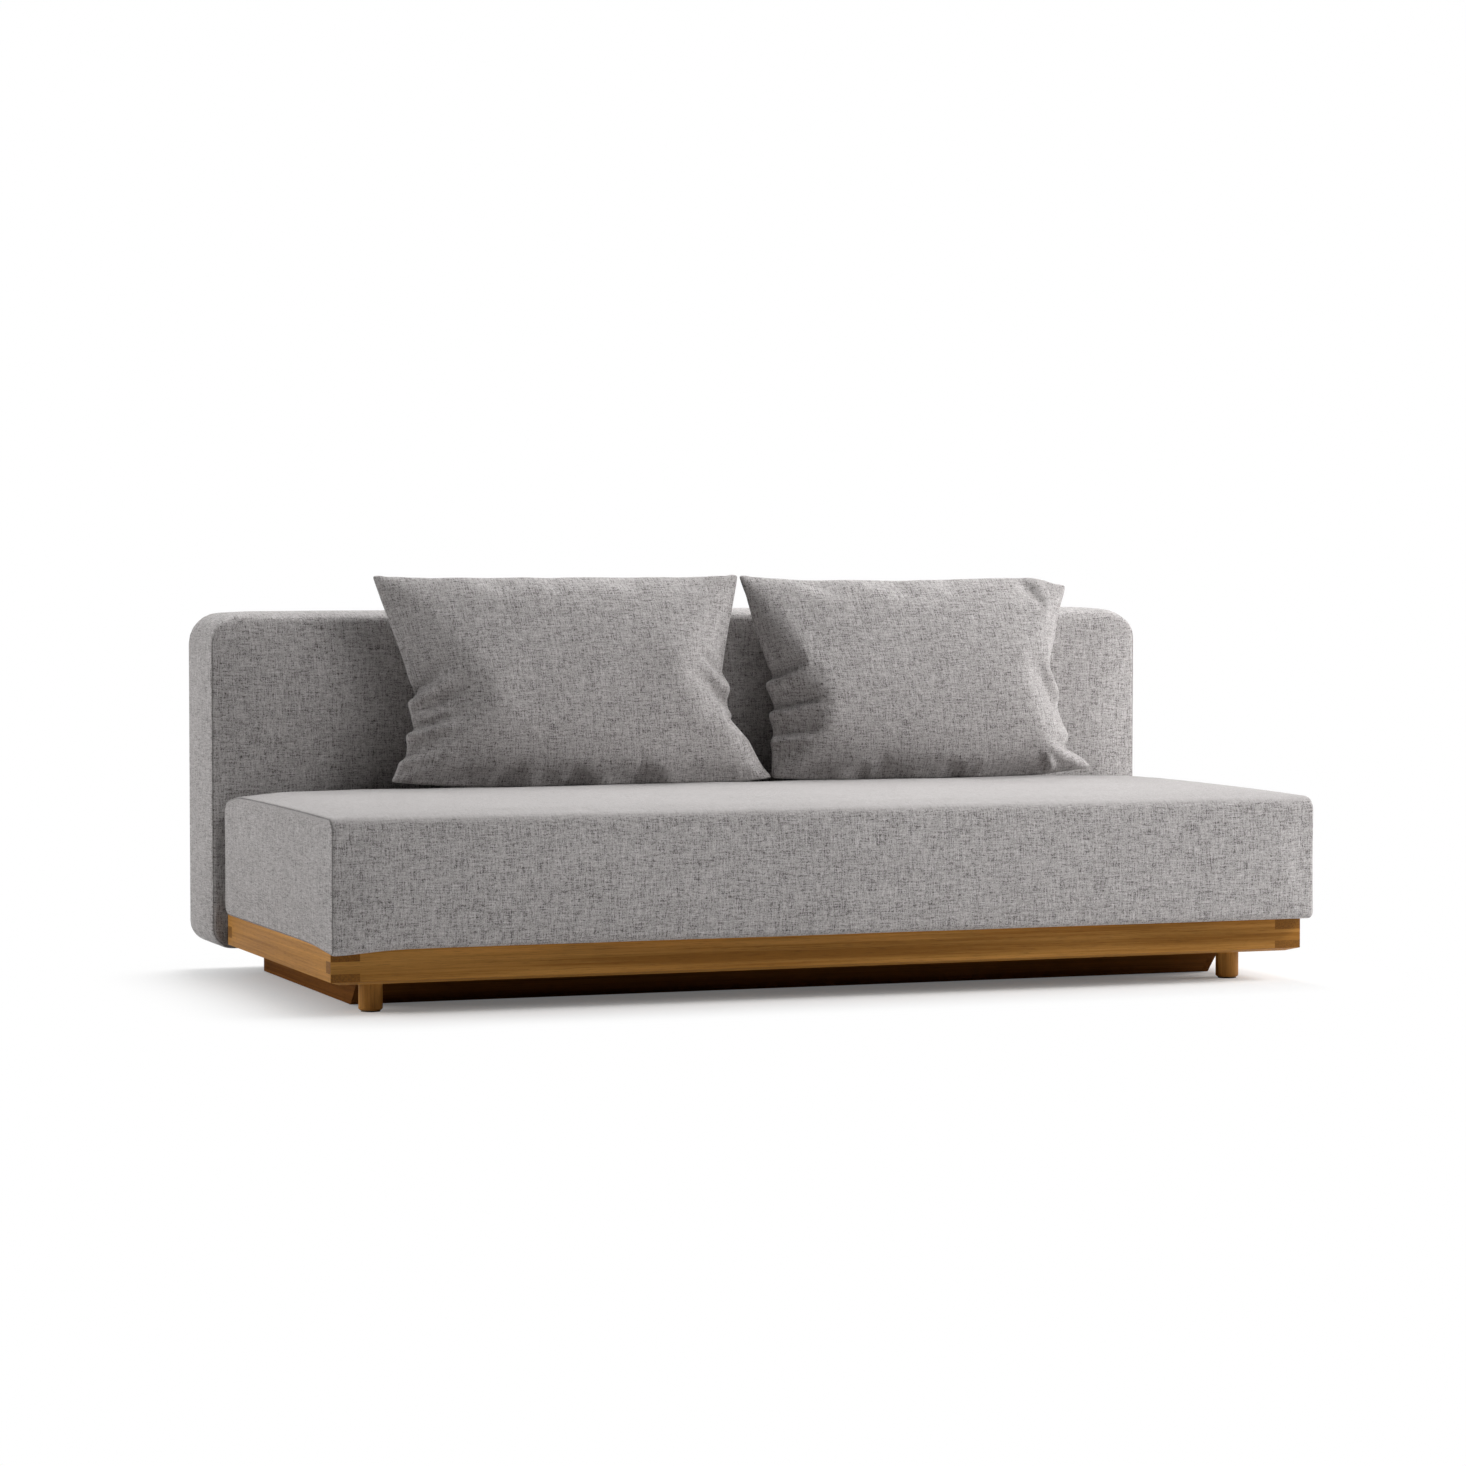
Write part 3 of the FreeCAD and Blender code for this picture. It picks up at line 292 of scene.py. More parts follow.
class NodeDesk:
    """A new material and short calls that fill its node tree."""

    def __init__(self, name: str) -> None:
        """Start a material of this name with one Principled shader.

        Args:
            name: The material's name.
        """
        self.material = bpy.data.materials.new(name)
        self.material.use_nodes = True
        self.tree = self.material.node_tree
        self.shader = self.tree.nodes["Principled BSDF"]

    def add(self, kind: str, **inputs: object) -> Node:
        """Add a node, and set or link its inputs by name.

        Args:
            kind: The node's type without the leading ShaderNode.
            inputs: Properties, or input names in small letters with _ for a space.

        Returns:
            The node.
        """
        node = self.tree.nodes.new("ShaderNode" + kind)
        for name, value in inputs.items():
            fits = (entry for entry in node.inputs if entry.name.lower().replace(" ", "_") == name)
            socket = next(fits, None)
            if socket is None:
                setattr(node, name, value)
            else:
                self.feed(socket, value)
        return node

    def feed(self, socket: NodeSocket, value: object) -> None:
        """Link a socket to another node's output, or set its value.

        Args:
            socket: The input.
            value: An output socket, a number or a tuple.
        """
        if isinstance(value, NodeSocket):
            self.tree.links.new(value, socket)
        else:
            socket.default_value = value

    def math(self, operation: str, first: object, second: object = 0.0) -> NodeSocket:
        """Return the result of an operation on one or two numbers.

        Args:
            operation: The Math node's operation.
            first: An output or a number.
            second: An output or a number.

        Returns:
            The result's output.
        """
        node = self.tree.nodes.new("ShaderNodeMath")
        node.operation = operation
        self.feed(node.inputs[0], first)
        self.feed(node.inputs[1], second)
        return node.outputs[0]

    def plus(self, first: object, second: object) -> NodeSocket:
        """Return the sum of two numbers."""
        return self.math("ADD", first, second)

    def times(self, first: object, second: object) -> NodeSocket:
        """Return the product of two numbers."""
        return self.math("MULTIPLY", first, second)

    def noise(
        self, place: object, scale: float, detail: float = 2.0, rough: float = 0.5
    ) -> NodeSocket:
        """Return soft noise near 0.5, of so many features per metre and finer layers."""
        node = self.add("TexNoise", vector=place, scale=scale, detail=detail, roughness=rough)
        return node.outputs[0]

    def stretched(self, place: object, scale: Triple) -> NodeSocket:
        """Return coordinates scaled by a factor along each axis."""
        return self.add("Mapping", vector=place, scale=scale).outputs[0]

    def ramp(self, share: object, stops: Stops) -> NodeSocket:
        """Return a colour from a row of stops.

        Args:
            share: The place on the ramp, from 0 to 1.
            stops: Pairs of a place and a colour.

        Returns:
            The colour's output.
        """
        node = self.add("ValToRGB", fac=share)
        elements = node.color_ramp.elements
        while len(elements) < len(stops):
            elements.new(0.5)
        for element, (place, colour) in zip(elements, stops):
            element.position = place
            element.color = (*colour, 1)
        return node.outputs[0]

    def mixed(
        self, share: object, first: object, second: object, kind: str = "MIX"
    ) -> NodeSocket:
        """Return a mix of two colours.

        Args:
            share: How much of the second shows.
            first: A colour or an output.
            second: A colour or an output.
            kind: The way in which they are mixed.

        Returns:
            The colour's output.
        """
        node = self.tree.nodes.new("ShaderNodeMix")
        node.data_type = "RGBA"
        node.blend_type = kind
        self.feed(node.inputs["Factor"], share)
        for socket, colour in ((node.inputs[6], first), (node.inputs[7], second)):
            self.feed(socket, (*colour, 1) if isinstance(colour, tuple) else colour)
        return node.outputs[2]

    def raised(self, height: object, depth: float, strength: float) -> None:
        """Give the surface a relief of a height from 0 to 1 that stands for a depth in metres."""
        bump = self.add("Bump", height=height, distance=depth, strength=strength)
        self.feed(self.shader.inputs["Normal"], bump.outputs[0])

    def finish(self, colour: object, roughness: object, **sockets: float) -> Material:
        """Set the shader's colour, roughness and fixed sockets.

        Args:
            colour: The base colour.
            roughness: The roughness.
            sockets: Other sockets by name, with _ for a space.

        Returns:
            The material.
        """
        self.feed(self.shader.inputs["Base Color"], colour)
        self.feed(self.shader.inputs["Roughness"], roughness)
        for name, value in sockets.items():
            title = name.replace("_", " ").title().replace("Ior", "IOR")
            self.shader.inputs[title].default_value = value
        return self.material


@dataclass(frozen=True)
class MelangeWeave:
    """Plain weave of slubbed light and dark yarn, woven along the piece's own UV map in metres.

    Yarn is the threads' width, slub the length of their light and dark stretches, and the values
    ending in apart keep the noise of one thread from that of the next.
    """

    name: str
    light: Triple = (0.66, 0.635, 0.63)
    middle: Triple = (0.41, 0.387, 0.381)
    dark: Triple = (0.060, 0.052, 0.049)
    yarn: float = 0.0015
    slub: float = 0.032
    thread_apart: float = 3.7
    layer_apart: float = 71.0
    under: float = 0.35
    over: float = 0.30
    fleck: float = 0.30
    contrast: float = 2.05
    # How far the top's weave contrast is calmed: painted sheen for a grazing view.
    calming: float = 0.6
    seam_shade: float = 0.6
    relief: float = 0.0005

    def make(self) -> Material:
        """Make the fabric: two sets of uneven threads, dark flecks, a sewn line darkened as painted
        shade, a top whose weave is calmed as painted sheen, and a relief.

        Returns:
            The material.
        """
        desk = NodeDesk(self.name)
        apart = desk.add("SeparateXYZ", vector=desk.add("UVMap", uv_map="weave").outputs[0])
        across, along = apart.outputs[0], apart.outputs[1]
        columns, rows = (desk.math("DIVIDE", place, self.yarn) for place in (across, along))
        column, row = desk.math("FLOOR", columns), desk.math("FLOOR", rows)
        checker = desk.math("PINGPONG", desk.plus(column, row), 1.0)
        tone = desk.add("Mix", factor=desk.plus(desk.times(checker, self.over), self.under))
        threads = ((column, along, 0.0), (row, across, self.layer_apart))
        for socket, (thread, run, layer) in zip(tone.inputs[2:4], threads):
            step, place = desk.times(thread, self.thread_apart), desk.math("DIVIDE", run, self.slub)
            spot = desk.add("CombineXYZ", x=step, y=place, z=layer).outputs[0]
            desk.feed(socket, desk.noise(spot, 1.0, 3.0, 0.75))
        crossing = desk.add("CombineXYZ", x=column, y=row).outputs[0]
        chance = desk.add("TexWhiteNoise", noise_dimensions="2D", vector=crossing).outputs["Value"]
        uneven = desk.times(desk.math("SUBTRACT", chance, 0.5), self.fleck)
        slubbed = desk.times(desk.math("SUBTRACT", tone.outputs[0], 0.5), self.contrast)
        # Painted sheen: the weave's contrast is calmed on the marked top, standing in for the sheen
        # that smooths the fabric at a grazing view.
        brushed = desk.add("Attribute", attribute_name="brushed").outputs["Fac"]
        calm_for_sheen = desk.math("SUBTRACT", 1.0, desk.times(brushed, self.calming))
        share = desk.plus(desk.times(desk.plus(slubbed, uneven), calm_for_sheen), 0.5)
        woven = desk.ramp(share, ((0.16, self.dark), (0.46, self.middle), (0.84, self.light)))
        broad = desk.noise(desk.add("TexCoord").outputs["Object"], 2.6, 3.0)
        cloudy = desk.ramp(broad, ((0.3, (0.93,) * 3), (0.7, (1.0,) * 3)))
        colour = desk.mixed(1.0, woven, cloudy, "MULTIPLY")
        sewn = desk.add("Attribute", attribute_name="sewn").outputs["Fac"]
        # Painted shade: the seam's groove is darkened towards the dark yarn.
        colour = desk.mixed(desk.times(sewn, self.seam_shade), colour, self.dark)
        swell = [desk.times(desk.math("PINGPONG", count, 0.5), 2.0) for count in (columns, rows)]
        desk.raised(desk.plus(desk.times(*swell), desk.times(share, 0.8)), self.relief, 0.8)
        return desk.finish(
            colour, 0.92, sheen_weight=0.30, sheen_roughness=0.40, specular_ior_level=0.18
        )


@dataclass(frozen=True)
class Tones:
    """A wood's colours: its pale and deep growth, and its end grain."""

    pale: Triple
    deep: Triple
    end: Triple


OAK = Tones((0.56, 0.275, 0.068), (0.29, 0.122, 0.020), (0.17, 0.072, 0.016))
# Oak darkened for the tray, which stands in the shade under the frame: painted shade over the same
# oak.
SHADED_OAK = Tones((0.21, 0.082, 0.020), (0.11, 0.040, 0.009), (0.07, 0.026, 0.007))
PINE = Tones((0.66, 0.47, 0.27), (0.52, 0.33, 0.16), (0.42, 0.26, 0.12))
BEECH = Tones((0.62, 0.41, 0.24), (0.50, 0.30, 0.16), (0.40, 0.23, 0.12))


@dataclass(frozen=True)
class Timber:
    """Wood whose grain runs along one direction; shift tells boards of one wood apart."""

    name: str
    grain: Axis
    tones: Tones
    shift: float
    polish: float = 0.48
    gloss: float = 0.1
    relief: float = 0.00025

    def figure(
        self, desk: NodeDesk, place: object, along: float, across: float, *fine: float
    ) -> NodeSocket:
        """Return noise with so many features per metre along the grain and across it."""
        scale = tuple(along if index == self.grain.value else across for index in range(3))
        return desk.noise(desk.stretched(place, scale), 1.0, *fine)

    def make(self) -> Material:
        """Make the wood: long streaks, growth bands, short pores and darker end grain.

        Returns:
            The material.
        """
        desk, tones = NodeDesk(self.name), self.tones
        coordinates = desk.add("TexCoord")
        place = desk.add("VectorMath", operation="ADD").outputs[0]
        desk.feed(place.node.inputs[0], coordinates.outputs["Object"])
        desk.feed(place.node.inputs[1], (self.shift, self.shift * 0.7, self.shift * 0.3))
        bands = self.figure(desk, place, 0.7, 26.0, 3.0, 0.55)
        streaks = self.figure(desk, place, 2.4, 210.0, 5.0, 0.7)
        pores = self.figure(desk, place, 34.0, 1500.0, 2.0, 0.6)
        share = desk.plus(desk.times(bands, 0.55), desk.times(streaks, 0.45))
        middle = tuple((a + b) / 2 for a, b in zip(tones.pale, tones.deep))
        colour = desk.ramp(share, ((0.40, tones.deep), (0.5, middle), (0.61, tones.pale)))
        open_pore = desk.ramp(pores, ((0.34, (0.55,) * 3), (0.44, (1.0,) * 3)))
        colour = desk.mixed(0.75, colour, open_pore, "MULTIPLY")
        facing = desk.add("VectorMath", operation="DOT_PRODUCT")
        desk.feed(facing.inputs[0], coordinates.outputs["Normal"])
        desk.feed(facing.inputs[1], tuple(self.grain.vector))
        ending = desk.math("GREATER_THAN", desk.math("ABSOLUTE", facing.outputs["Value"]), 0.9)
        speckle = desk.ramp(desk.noise(place, 420.0, 3.0), ((0.35, tones.end), (0.7, tones.deep)))
        colour = desk.mixed(ending, colour, speckle)
        roughness_and_sheen_calm = desk.plus(desk.times(streaks, 0.16), self.polish - 0.08)
        desk.raised(desk.plus(desk.times(pores, 0.7), desk.times(streaks, 0.5)), self.relief, 0.5)
        return desk.finish(colour, roughness_and_sheen_calm, specular_ior_level=self.gloss)


@dataclass(frozen=True)
class Plywood:
    """Birch plywood: pale faces and banded edges."""

    name: str
    face: Triple = (0.62, 0.46, 0.29)
    band: Triple = (0.38, 0.25, 0.14)

    def make(self) -> Material:
        """Make the plywood, with its layers showing on the narrow edges.

        Returns:
            The material.
        """
        desk = NodeDesk(self.name)
        place = desk.add("TexCoord").outputs["Object"]
        grain = desk.noise(desk.stretched(place, (3.0, 90.0, 90.0)), 1.0, 4.0, 0.65)
        figure = desk.noise(desk.stretched(place, (1.2, 9.0, 9.0)), 1.0, 2.0)
        share = desk.plus(desk.times(grain, 0.5), desk.times(figure, 0.5))
        bright = tuple(value * 1.1 for value in self.face)
        colour = desk.ramp(share, ((0.35, self.band), (0.5, self.face), (0.65, bright)))
        desk.raised(grain, 0.0002, 0.4)
        return desk.finish(colour, 0.6, specular_ior_level=0.3)


@dataclass(frozen=True)
class Metal:
    """Steel, bright zinc or powder-coated."""

    name: str
    colour: Triple
    metallic: float
    rough: float
    grit: float
    relief: float

    def make(self) -> Material:
        """Make the metal, with small spangles or coating texture and uneven gloss.

        Returns:
            The material.
        """
        desk = NodeDesk(self.name)
        place = desk.add("TexCoord").outputs["Object"]
        spangle = desk.noise(place, self.grit / 8, 2.0)
        fine = desk.noise(place, self.grit, 2.0)
        darker = tuple(value * 0.72 for value in self.colour)
        colour = desk.mixed(desk.times(spangle, 0.5), self.colour, darker)
        rough = desk.plus(desk.times(spangle, 0.22), self.rough - 0.11)
        desk.raised(fine, self.relief, 0.6)
        return desk.finish(colour, rough, metallic=self.metallic)


@dataclass(frozen=True)
class SoftPlastic:
    """Nylon, rubber, felt or a dust cloth: one colour with a fine matt texture."""

    name: str
    colour: Triple
    rough: float
    grit: float = 700.0
    relief: float = 0.0001
    contrast: float = 0.25

    def make(self) -> Material:
        """Make the material with its speckle and texture.

        Returns:
            The material.
        """
        desk = NodeDesk(self.name)
        place = desk.add("TexCoord").outputs["Object"]
        fine = desk.noise(place, self.grit, 3.0, 0.65)
        broad = desk.noise(place, 14.0, 2.0)
        paler = tuple(value * 1.7 for value in self.colour)
        colour = desk.mixed(desk.times(desk.plus(fine, broad), self.contrast), self.colour, paler)
        desk.raised(fine, self.relief, 0.7)
        return desk.finish(colour, self.rough, specular_ior_level=0.3)


@dataclass
class Wardrobe:
    """All finishes, made once, and the CAD pieces that wear them."""

    weave: MelangeWeave = MelangeWeave("melange_weave")
    made: dict[str, Material] = field(default_factory=dict)

    def finish(self, kind: object) -> Material:
        """Return the material of a finish, made at its first use.

        Args:
            kind: A finish with a name and a make method.

        Returns:
            The material.
        """
        if kind.name not in self.made:
            self.made[kind.name] = kind.make()
        return self.made[kind.name]

    def put_on(self, thing: Object, kind: object) -> None:
        """Give one mesh object a finish and no other."""
        thing.data.materials.clear()
        thing.data.materials.append(self.finish(kind))

    def dress(self, kind: object, *names: str) -> None:
        """Give the CAD pieces of these names a finish."""
        for name in names:
            self.put_on(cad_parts[name], kind)

    def dress_pairs(self, kind: object, *stems: str) -> None:
        """Give the left and the right CAD piece of each stem the same finish."""
        for stem in stems:
            self.dress(kind, *(f"{stem}_{side.word}" for side in Side))


@dataclass
class Woodwork:
    """The oak frame, its legs, the slatted base and the tray: CAD pieces with wood finishes."""

    wardrobe: Wardrobe

    def dress(self) -> None:
        """Give each wooden piece its grain direction and tone."""
        wear, pairs = self.wardrobe.dress, self.wardrobe.dress_pairs
        wear(Timber("oak_front", Axis.ALONG, OAK, 0.0), "frame_front_board")
        wear(Timber("oak_rear", Axis.ALONG, OAK, 3.1), "frame_rear_board")
        for side in Side:
            board = Timber(f"oak_side_{side.word}", Axis.DEPTH, OAK, 5.3 * side.value)
            wear(board, f"frame_side_board_{side.word}")
            leg = Timber(f"oak_leg_{side.word}", Axis.UPRIGHT, OAK, 2.3 * side.value)
            wear(leg, f"leg_{side.word}")
        dull = {"polish": 0.7, "gloss": 0.02}
        # Painted shade: the tray's boards wear the darker copy of oak.
        shaded_oak = Timber("stained_along", Axis.ALONG, SHADED_OAK, 7.7, **dull)
        wear(shaded_oak, "tray_front_board", "tray_rear_board")
        pairs(Timber("stained_deep", Axis.DEPTH, SHADED_OAK, 9.1, **dull), "tray_end")
        bars = ("slat_ledger_front", "slat_ledger_rear", "rear_bearer", "centre_bearer")
        planed = 0.62
        pine = Timber("pine_along", Axis.ALONG, PINE, 1.3, planed)
        wear(pine, *bars, "tray_corner_blocks")
        pairs(Timber("pine_along_blocks", Axis.ALONG, PINE, 4.3, planed), "corner_block")
        wear(Timber("pine_upright", Axis.UPRIGHT, PINE, 6.1, planed), "back_stiles")
        wear(Timber("beech_slats", Axis.DEPTH, BEECH, 8.8, polish=0.40), "slats")
        boards = ("tray_bottom_panel", "seat_board", "back_bottom_board", "back_top_board")
        plywood = Plywood("birch_plywood")
        wear(plywood, *boards)
        pairs(plywood, "back_end_board")
        log.info("woodwork dressed")


@dataclass
class Ironwork:
    """Casters, guides, hinges and the stand: CAD pieces with metal and plastic finishes."""

    wardrobe: Wardrobe

    def dress(self) -> None:
        """Give each metal, plastic, felt and rubber piece its finish."""
        wear, pairs = self.wardrobe.dress, self.wardrobe.dress_pairs
        zinc = Metal("zinc_plate", (0.56, 0.57, 0.58), 1.0, 0.34, 900.0, 0.00005)
        black = Metal("black_powder_coat", (0.018, 0.018, 0.02), 0.0, 0.5, 1500.0, 0.00012)
        nylon = SoftPlastic("black_nylon", (0.02, 0.02, 0.022), 0.45)
        rubber = SoftPlastic("black_rubber", (0.012, 0.012, 0.012), 0.75)
        felt = SoftPlastic("brown_felt", (0.10, 0.075, 0.05), 0.95, 2200.0, 0.0004, 0.4)
        cloth = SoftPlastic("dust_cloth", (0.022, 0.022, 0.024), 0.9, 1400.0, 0.0002, 0.35)
        pairs(zinc, "wheel_strip", "caster_fork", "caster_axle", "guide_channel")
        pairs(zinc, "hinge_pin", "stand_saddle")
        wear(zinc, "leg_bolts")
        pairs(black, "lift_carriage", "hinge_leaf", "stand_leg")
        wear(black, "stand_tube")
        pairs(nylon, "side_guide", "caster_wheel")
        wear(nylon, "tray_glides")
        pairs(felt, "leg_felt")
        wear(rubber, "stand_feet")
        wear(cloth, "back_panel")
        log.info("ironwork dressed")


# Upholstery


def project_weave(cover: Object) -> None:
    """Give a cover a UV map in metres, laid flat on the side that each face looks to.

    Args:
        cover: The finished cover.
    """
    mesh = cover.data
    main = np.abs(read_rows(mesh.polygons, "normal")).argmax(axis=1)
    corner_main = np.repeat(main, [face.loop_total for face in mesh.polygons])
    place = read_points(cover)[[corner.vertex_index for corner in mesh.loops]]
    across = np.where(corner_main == 0, place[:, 1], place[:, 0])
    along = np.where(corner_main == 2, place[:, 1], place[:, 2])
    layer = mesh.uv_layers.get("weave") or mesh.uv_layers.new(name="weave")
    layer.data.foreach_set("uv", np.stack([across, along], axis=1).astype(np.float32).ravel())


def lies_at(edge: bmesh.types.BMEdge, axis: int, place: float, spare: float = NEAR) -> bool:
    """Say whether both ends of an edge lie at a place along an axis."""
    return all(abs(point.co[axis] - place) < spare for point in edge.verts)


@dataclass
class SewnBlock:
    """A foam block in a sewn cover: four rounded long edges, and a seam round each end.

    The faces' grid keeps a margin from the edges. How far the weave's texture is calmed on the top,
    from 0 to 1, is a painted sheen that stands in for the fabric's sheen at a grazing view; it sets
    in between two depths below the top.
    """

    name: str
    node: str
    body: str
    run: Axis
    low: Triple
    high: Triple
    corners: dict[tuple[int, int], float]
    end_round: float
    crown: float
    wardrobe: Wardrobe
    spacing: float = 0.0165
    quick_spacing: float = 0.06
    seam_width: float = 0.0032
    seam_depth: float = 0.0026
    seam_shadow: float = 0.001
    ring_spare: float = 1e-4
    margin: float = 0.012
    worn_from: float = 0.012
    worn_to: float = 0.004
    lain_on: float = 0.0
    cover: Object | None = None

    @property
    def others(self) -> list[int]:
        """Return the two axes square to the block's run."""
        return [axis.value for axis in Axis if axis != self.run]

    @property
    def rings(self) -> tuple[float, float]:
        """Return where along the run the seams of the two ends lie."""
        inset = self.end_round * (1 - math.sin(math.pi / 4))
        return self.low[self.run.value] + inset, self.high[self.run.value] - inset

    def blank(self) -> None:
        """Add the box, round its edges and draw the seams in."""
        ops.object.select_all(action="DESELECT")
        ops.mesh.primitive_cube_add(size=1)
        self.cover = bpy.context.active_object
        self.cover.name = self.cover.data.name = self.name
        run = self.run.value
        with Editing(self.cover) as bench:
            ops.mesh.select_all(action="SELECT")
            ops.transform.resize(value=[b - a for a, b in zip(self.low, self.high)])
            middle = [(a + b) / 2 for a, b in zip(self.low, self.high)]
            ops.transform.translate(value=middle)
            for signs, radius in self.corners.items():
                ends = [
                    (axis, (self.high if sign > 0 else self.low)[axis])
                    for axis, sign in zip(self.others, signs)
                ]
                bench.pick("EDGE", lambda edge: all(lies_at(edge, *end) for end in ends))
                ops.mesh.bevel(offset=radius, segments=6, affect="EDGES")
            for end in (self.low[run], self.high[run]):
                bench.pick("EDGE", lambda edge: lies_at(edge, run, end))
                ops.mesh.bevel(offset=self.end_round, segments=4, affect="EDGES")
            for ring in self.rings:
                bench.pick("EDGE", lambda edge: lies_at(edge, run, ring, self.ring_spare))
                ops.mesh.bevel(offset=self.seam_width / 2, segments=2, affect="EDGES")
                bench.pick(
                    "VERT",
                    lambda point: abs(point.co[run] - ring) < self.ring_spare
                    and self.is_sewn(point.co),
                )
                ops.transform.shrink_fatten(value=-self.seam_depth)

    def is_sewn(self, place: Vector) -> bool:
        """Say whether the ring of an end is a seam at a place, and not cloth that wraps over."""
        return True

    def mark_seams(self) -> None:
        """Write down which points lie in a seam, as sewn, and how far the top's weave is calmed, a
        painted sheen.
        """
        run = self.run.value
        sewn = [
            float(
                min(abs(point.co[run] - ring) for ring in self.rings) < self.seam_shadow
                and self.is_sewn(point.co)
            )
            for point in self.cover.data.vertices
        ]
        top, heights = self.high[2], read_points(self.cover)[:, 2]
        # Painted sheen: the weight that calms the weave rises towards the top.
        roughness_and_sheen_calm = ease(heights, top - self.worn_from, top - self.worn_to) * self.lain_on
        for name, values in (("sewn", sewn), ("brushed", roughness_and_sheen_calm)):
            attribute = self.cover.data.attributes.new(name, "FLOAT", "POINT")
            attribute.data.foreach_set("value", values)

    def divide(self) -> None:
        """Cut the block into a grid of small faces."""
        spacing = self.spacing
        with Editing(self.cover):
            for axis in Axis:
                low, high = self.low[axis.value], self.high[axis.value]
                inset = self.end_round if axis == self.run else self.margin
                count = max(2, round((high - low - 2 * inset) / spacing))
                for index in range(count + 1):
                    ops.mesh.select_all(action="SELECT")
                    place = low + inset + (high - low - 2 * inset) * index / count
                    ops.mesh.bisect(plane_co=axis.vector * place, plane_no=axis.vector)
            ops.mesh.select_all(action="SELECT")
            ops.mesh.remove_doubles(threshold=NEAR)
            ops.mesh.normals_make_consistent(inside=False)
        log.info("%s: %d faces", self.name, len(self.cover.data.polygons))

    def swell(self) -> None:
        """Shape the faces and stuff the cover."""
        raise NotImplementedError

    def hold(self, *margins: float) -> np.ndarray:
        """Return how firmly each point is held: 1 at the block's edges, 0 in its faces.

        Args:
            margins: How far in from each side the cover is free, one per axis.

        Returns:
            One weight per point.
        """
        points = read_points(self.cover)
        inner = np.minimum(points - self.low, self.high - points)
        free = [ease(inner[:, axis], 0.0, margins[axis]) for axis in range(3)]
        return 1 - np.sort(np.stack(free), axis=0)[1]

    def ruffle(self, points: np.ndarray, seed: int, wavelength: float, height: np.ndarray) -> None:
        """Make the cover slightly uneven, by up to a height at each point."""
        swell = ripple(points, seed, wavelength) * height
        points += swell[:, None] * read_rows(self.cover.data.vertices, "normal")

    def stuff(self, held: np.ndarray) -> None:
        """Args:
            held: How firmly each point is held, from 0 to 1.
        """
        add_group(self.cover, "pins", held)
        Stuffing().fill(self.cover)

    def finish(self) -> None:
        """Smooth, dress and seat the cover in place of its CAD solid."""
        finer(self.cover)
        project_weave(self.cover)
        self.wardrobe.put_on(self.cover, self.wardrobe.weave)
        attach(self.cover, self.body)
        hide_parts(self.node)
        log.info("%s: made", self.name)

    def make(self) -> Object:
        """Build the block.

        Returns:
            The finished cover.
        """
        self.blank()
        self.divide()
        self.mark_seams()
        self.swell()
        self.finish()
        return self.cover


class SeatBlock(SewnBlock):
    """The seat: top and front in one cloth, end panels sewn in, a hem that dips at one corner."""

    waist = 0.002
    rear_drop = 0.012
    past_front = (0.043, 0.030)
    past_end = (0.981, 0.986)
    hem_dip = 0.009
    dip_along = 0.085
    dip_deep = 0.12
    wave = 0.22
    uneven = 0.0011
    guide_gap = 0.004
    guide_reach = 0.03
    guide_fade = (-0.036, -0.018)

    def swell(self) -> None:
        """Crown the top, draw the sides in, drop the hem and stuff the cover."""
        points = read_points(self.cover)
        x, y, z = points.T
        left, front, _ = self.low
        across, depth, height = ((points - self.low) / np.subtract(self.high, self.low)).T
        along, deep = (np.abs(share - 0.5) * 2 for share in (across, depth))
        upper = ease(height, 0.5, 1.0)
        dome = (1 - along**6) * 0.7 + 0.3
        z += self.crown * upper * dome * (1 - deep**2.2)
        drawn = np.sin(np.clip(height, 0, 1) * math.pi) * ease(deep, 0.5, 1.0)
        y += np.where(depth < 0.5, 1, -1) * self.waist * drawn
        z -= self.rear_drop * upper * ease(depth, 0.84, 1.0) * ease(along, 0.90, 1.0)
        beneath = 1 - ease(height, 0.0, 0.25)
        in_front = ease(-y, *(-front - inset for inset in self.past_front))
        outside = np.maximum(in_front, ease(np.abs(x), *self.past_end))
        corner_x = np.exp(-(((x - left) / self.dip_along) ** 2))
        corner_y = np.exp(-(((y - front) / self.dip_deep) ** 2))
        z -= self.hem_dip * beneath * outside * corner_x * corner_y
        self.ruffle(points, 5, self.wave, self.uneven * (1 - self.hold(0.05, 0.05, 0.05)))
        behind_guides = self.clear_guides(points)
        write_points(self.cover, points)
        held = np.maximum(self.hold(0.06, 0.06, 0.05), ease(-height, -0.10, -0.02))
        self.stuff(np.maximum(held, behind_guides))

    def clear_guides(self, points: np.ndarray) -> np.ndarray:
        """Draw the rear of the cover in round the upright guides.

        Args:
            points: The cover's points, changed in place.

        Returns:
            One weight per point, 1 where the cover has to stay clear of a guide.
        """
        x, y, _ = points.T
        near = np.zeros(len(points))
        for side in Side:
            low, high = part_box(f"guide_channel_{side.word}")
            inside = within(x, low.x, high.x, *self.guide_fade)
            y -= np.maximum(y - (low.y - self.guide_gap), 0) * inside
            near = np.maximum(near, inside * (y > low.y - self.guide_reach))
        return near


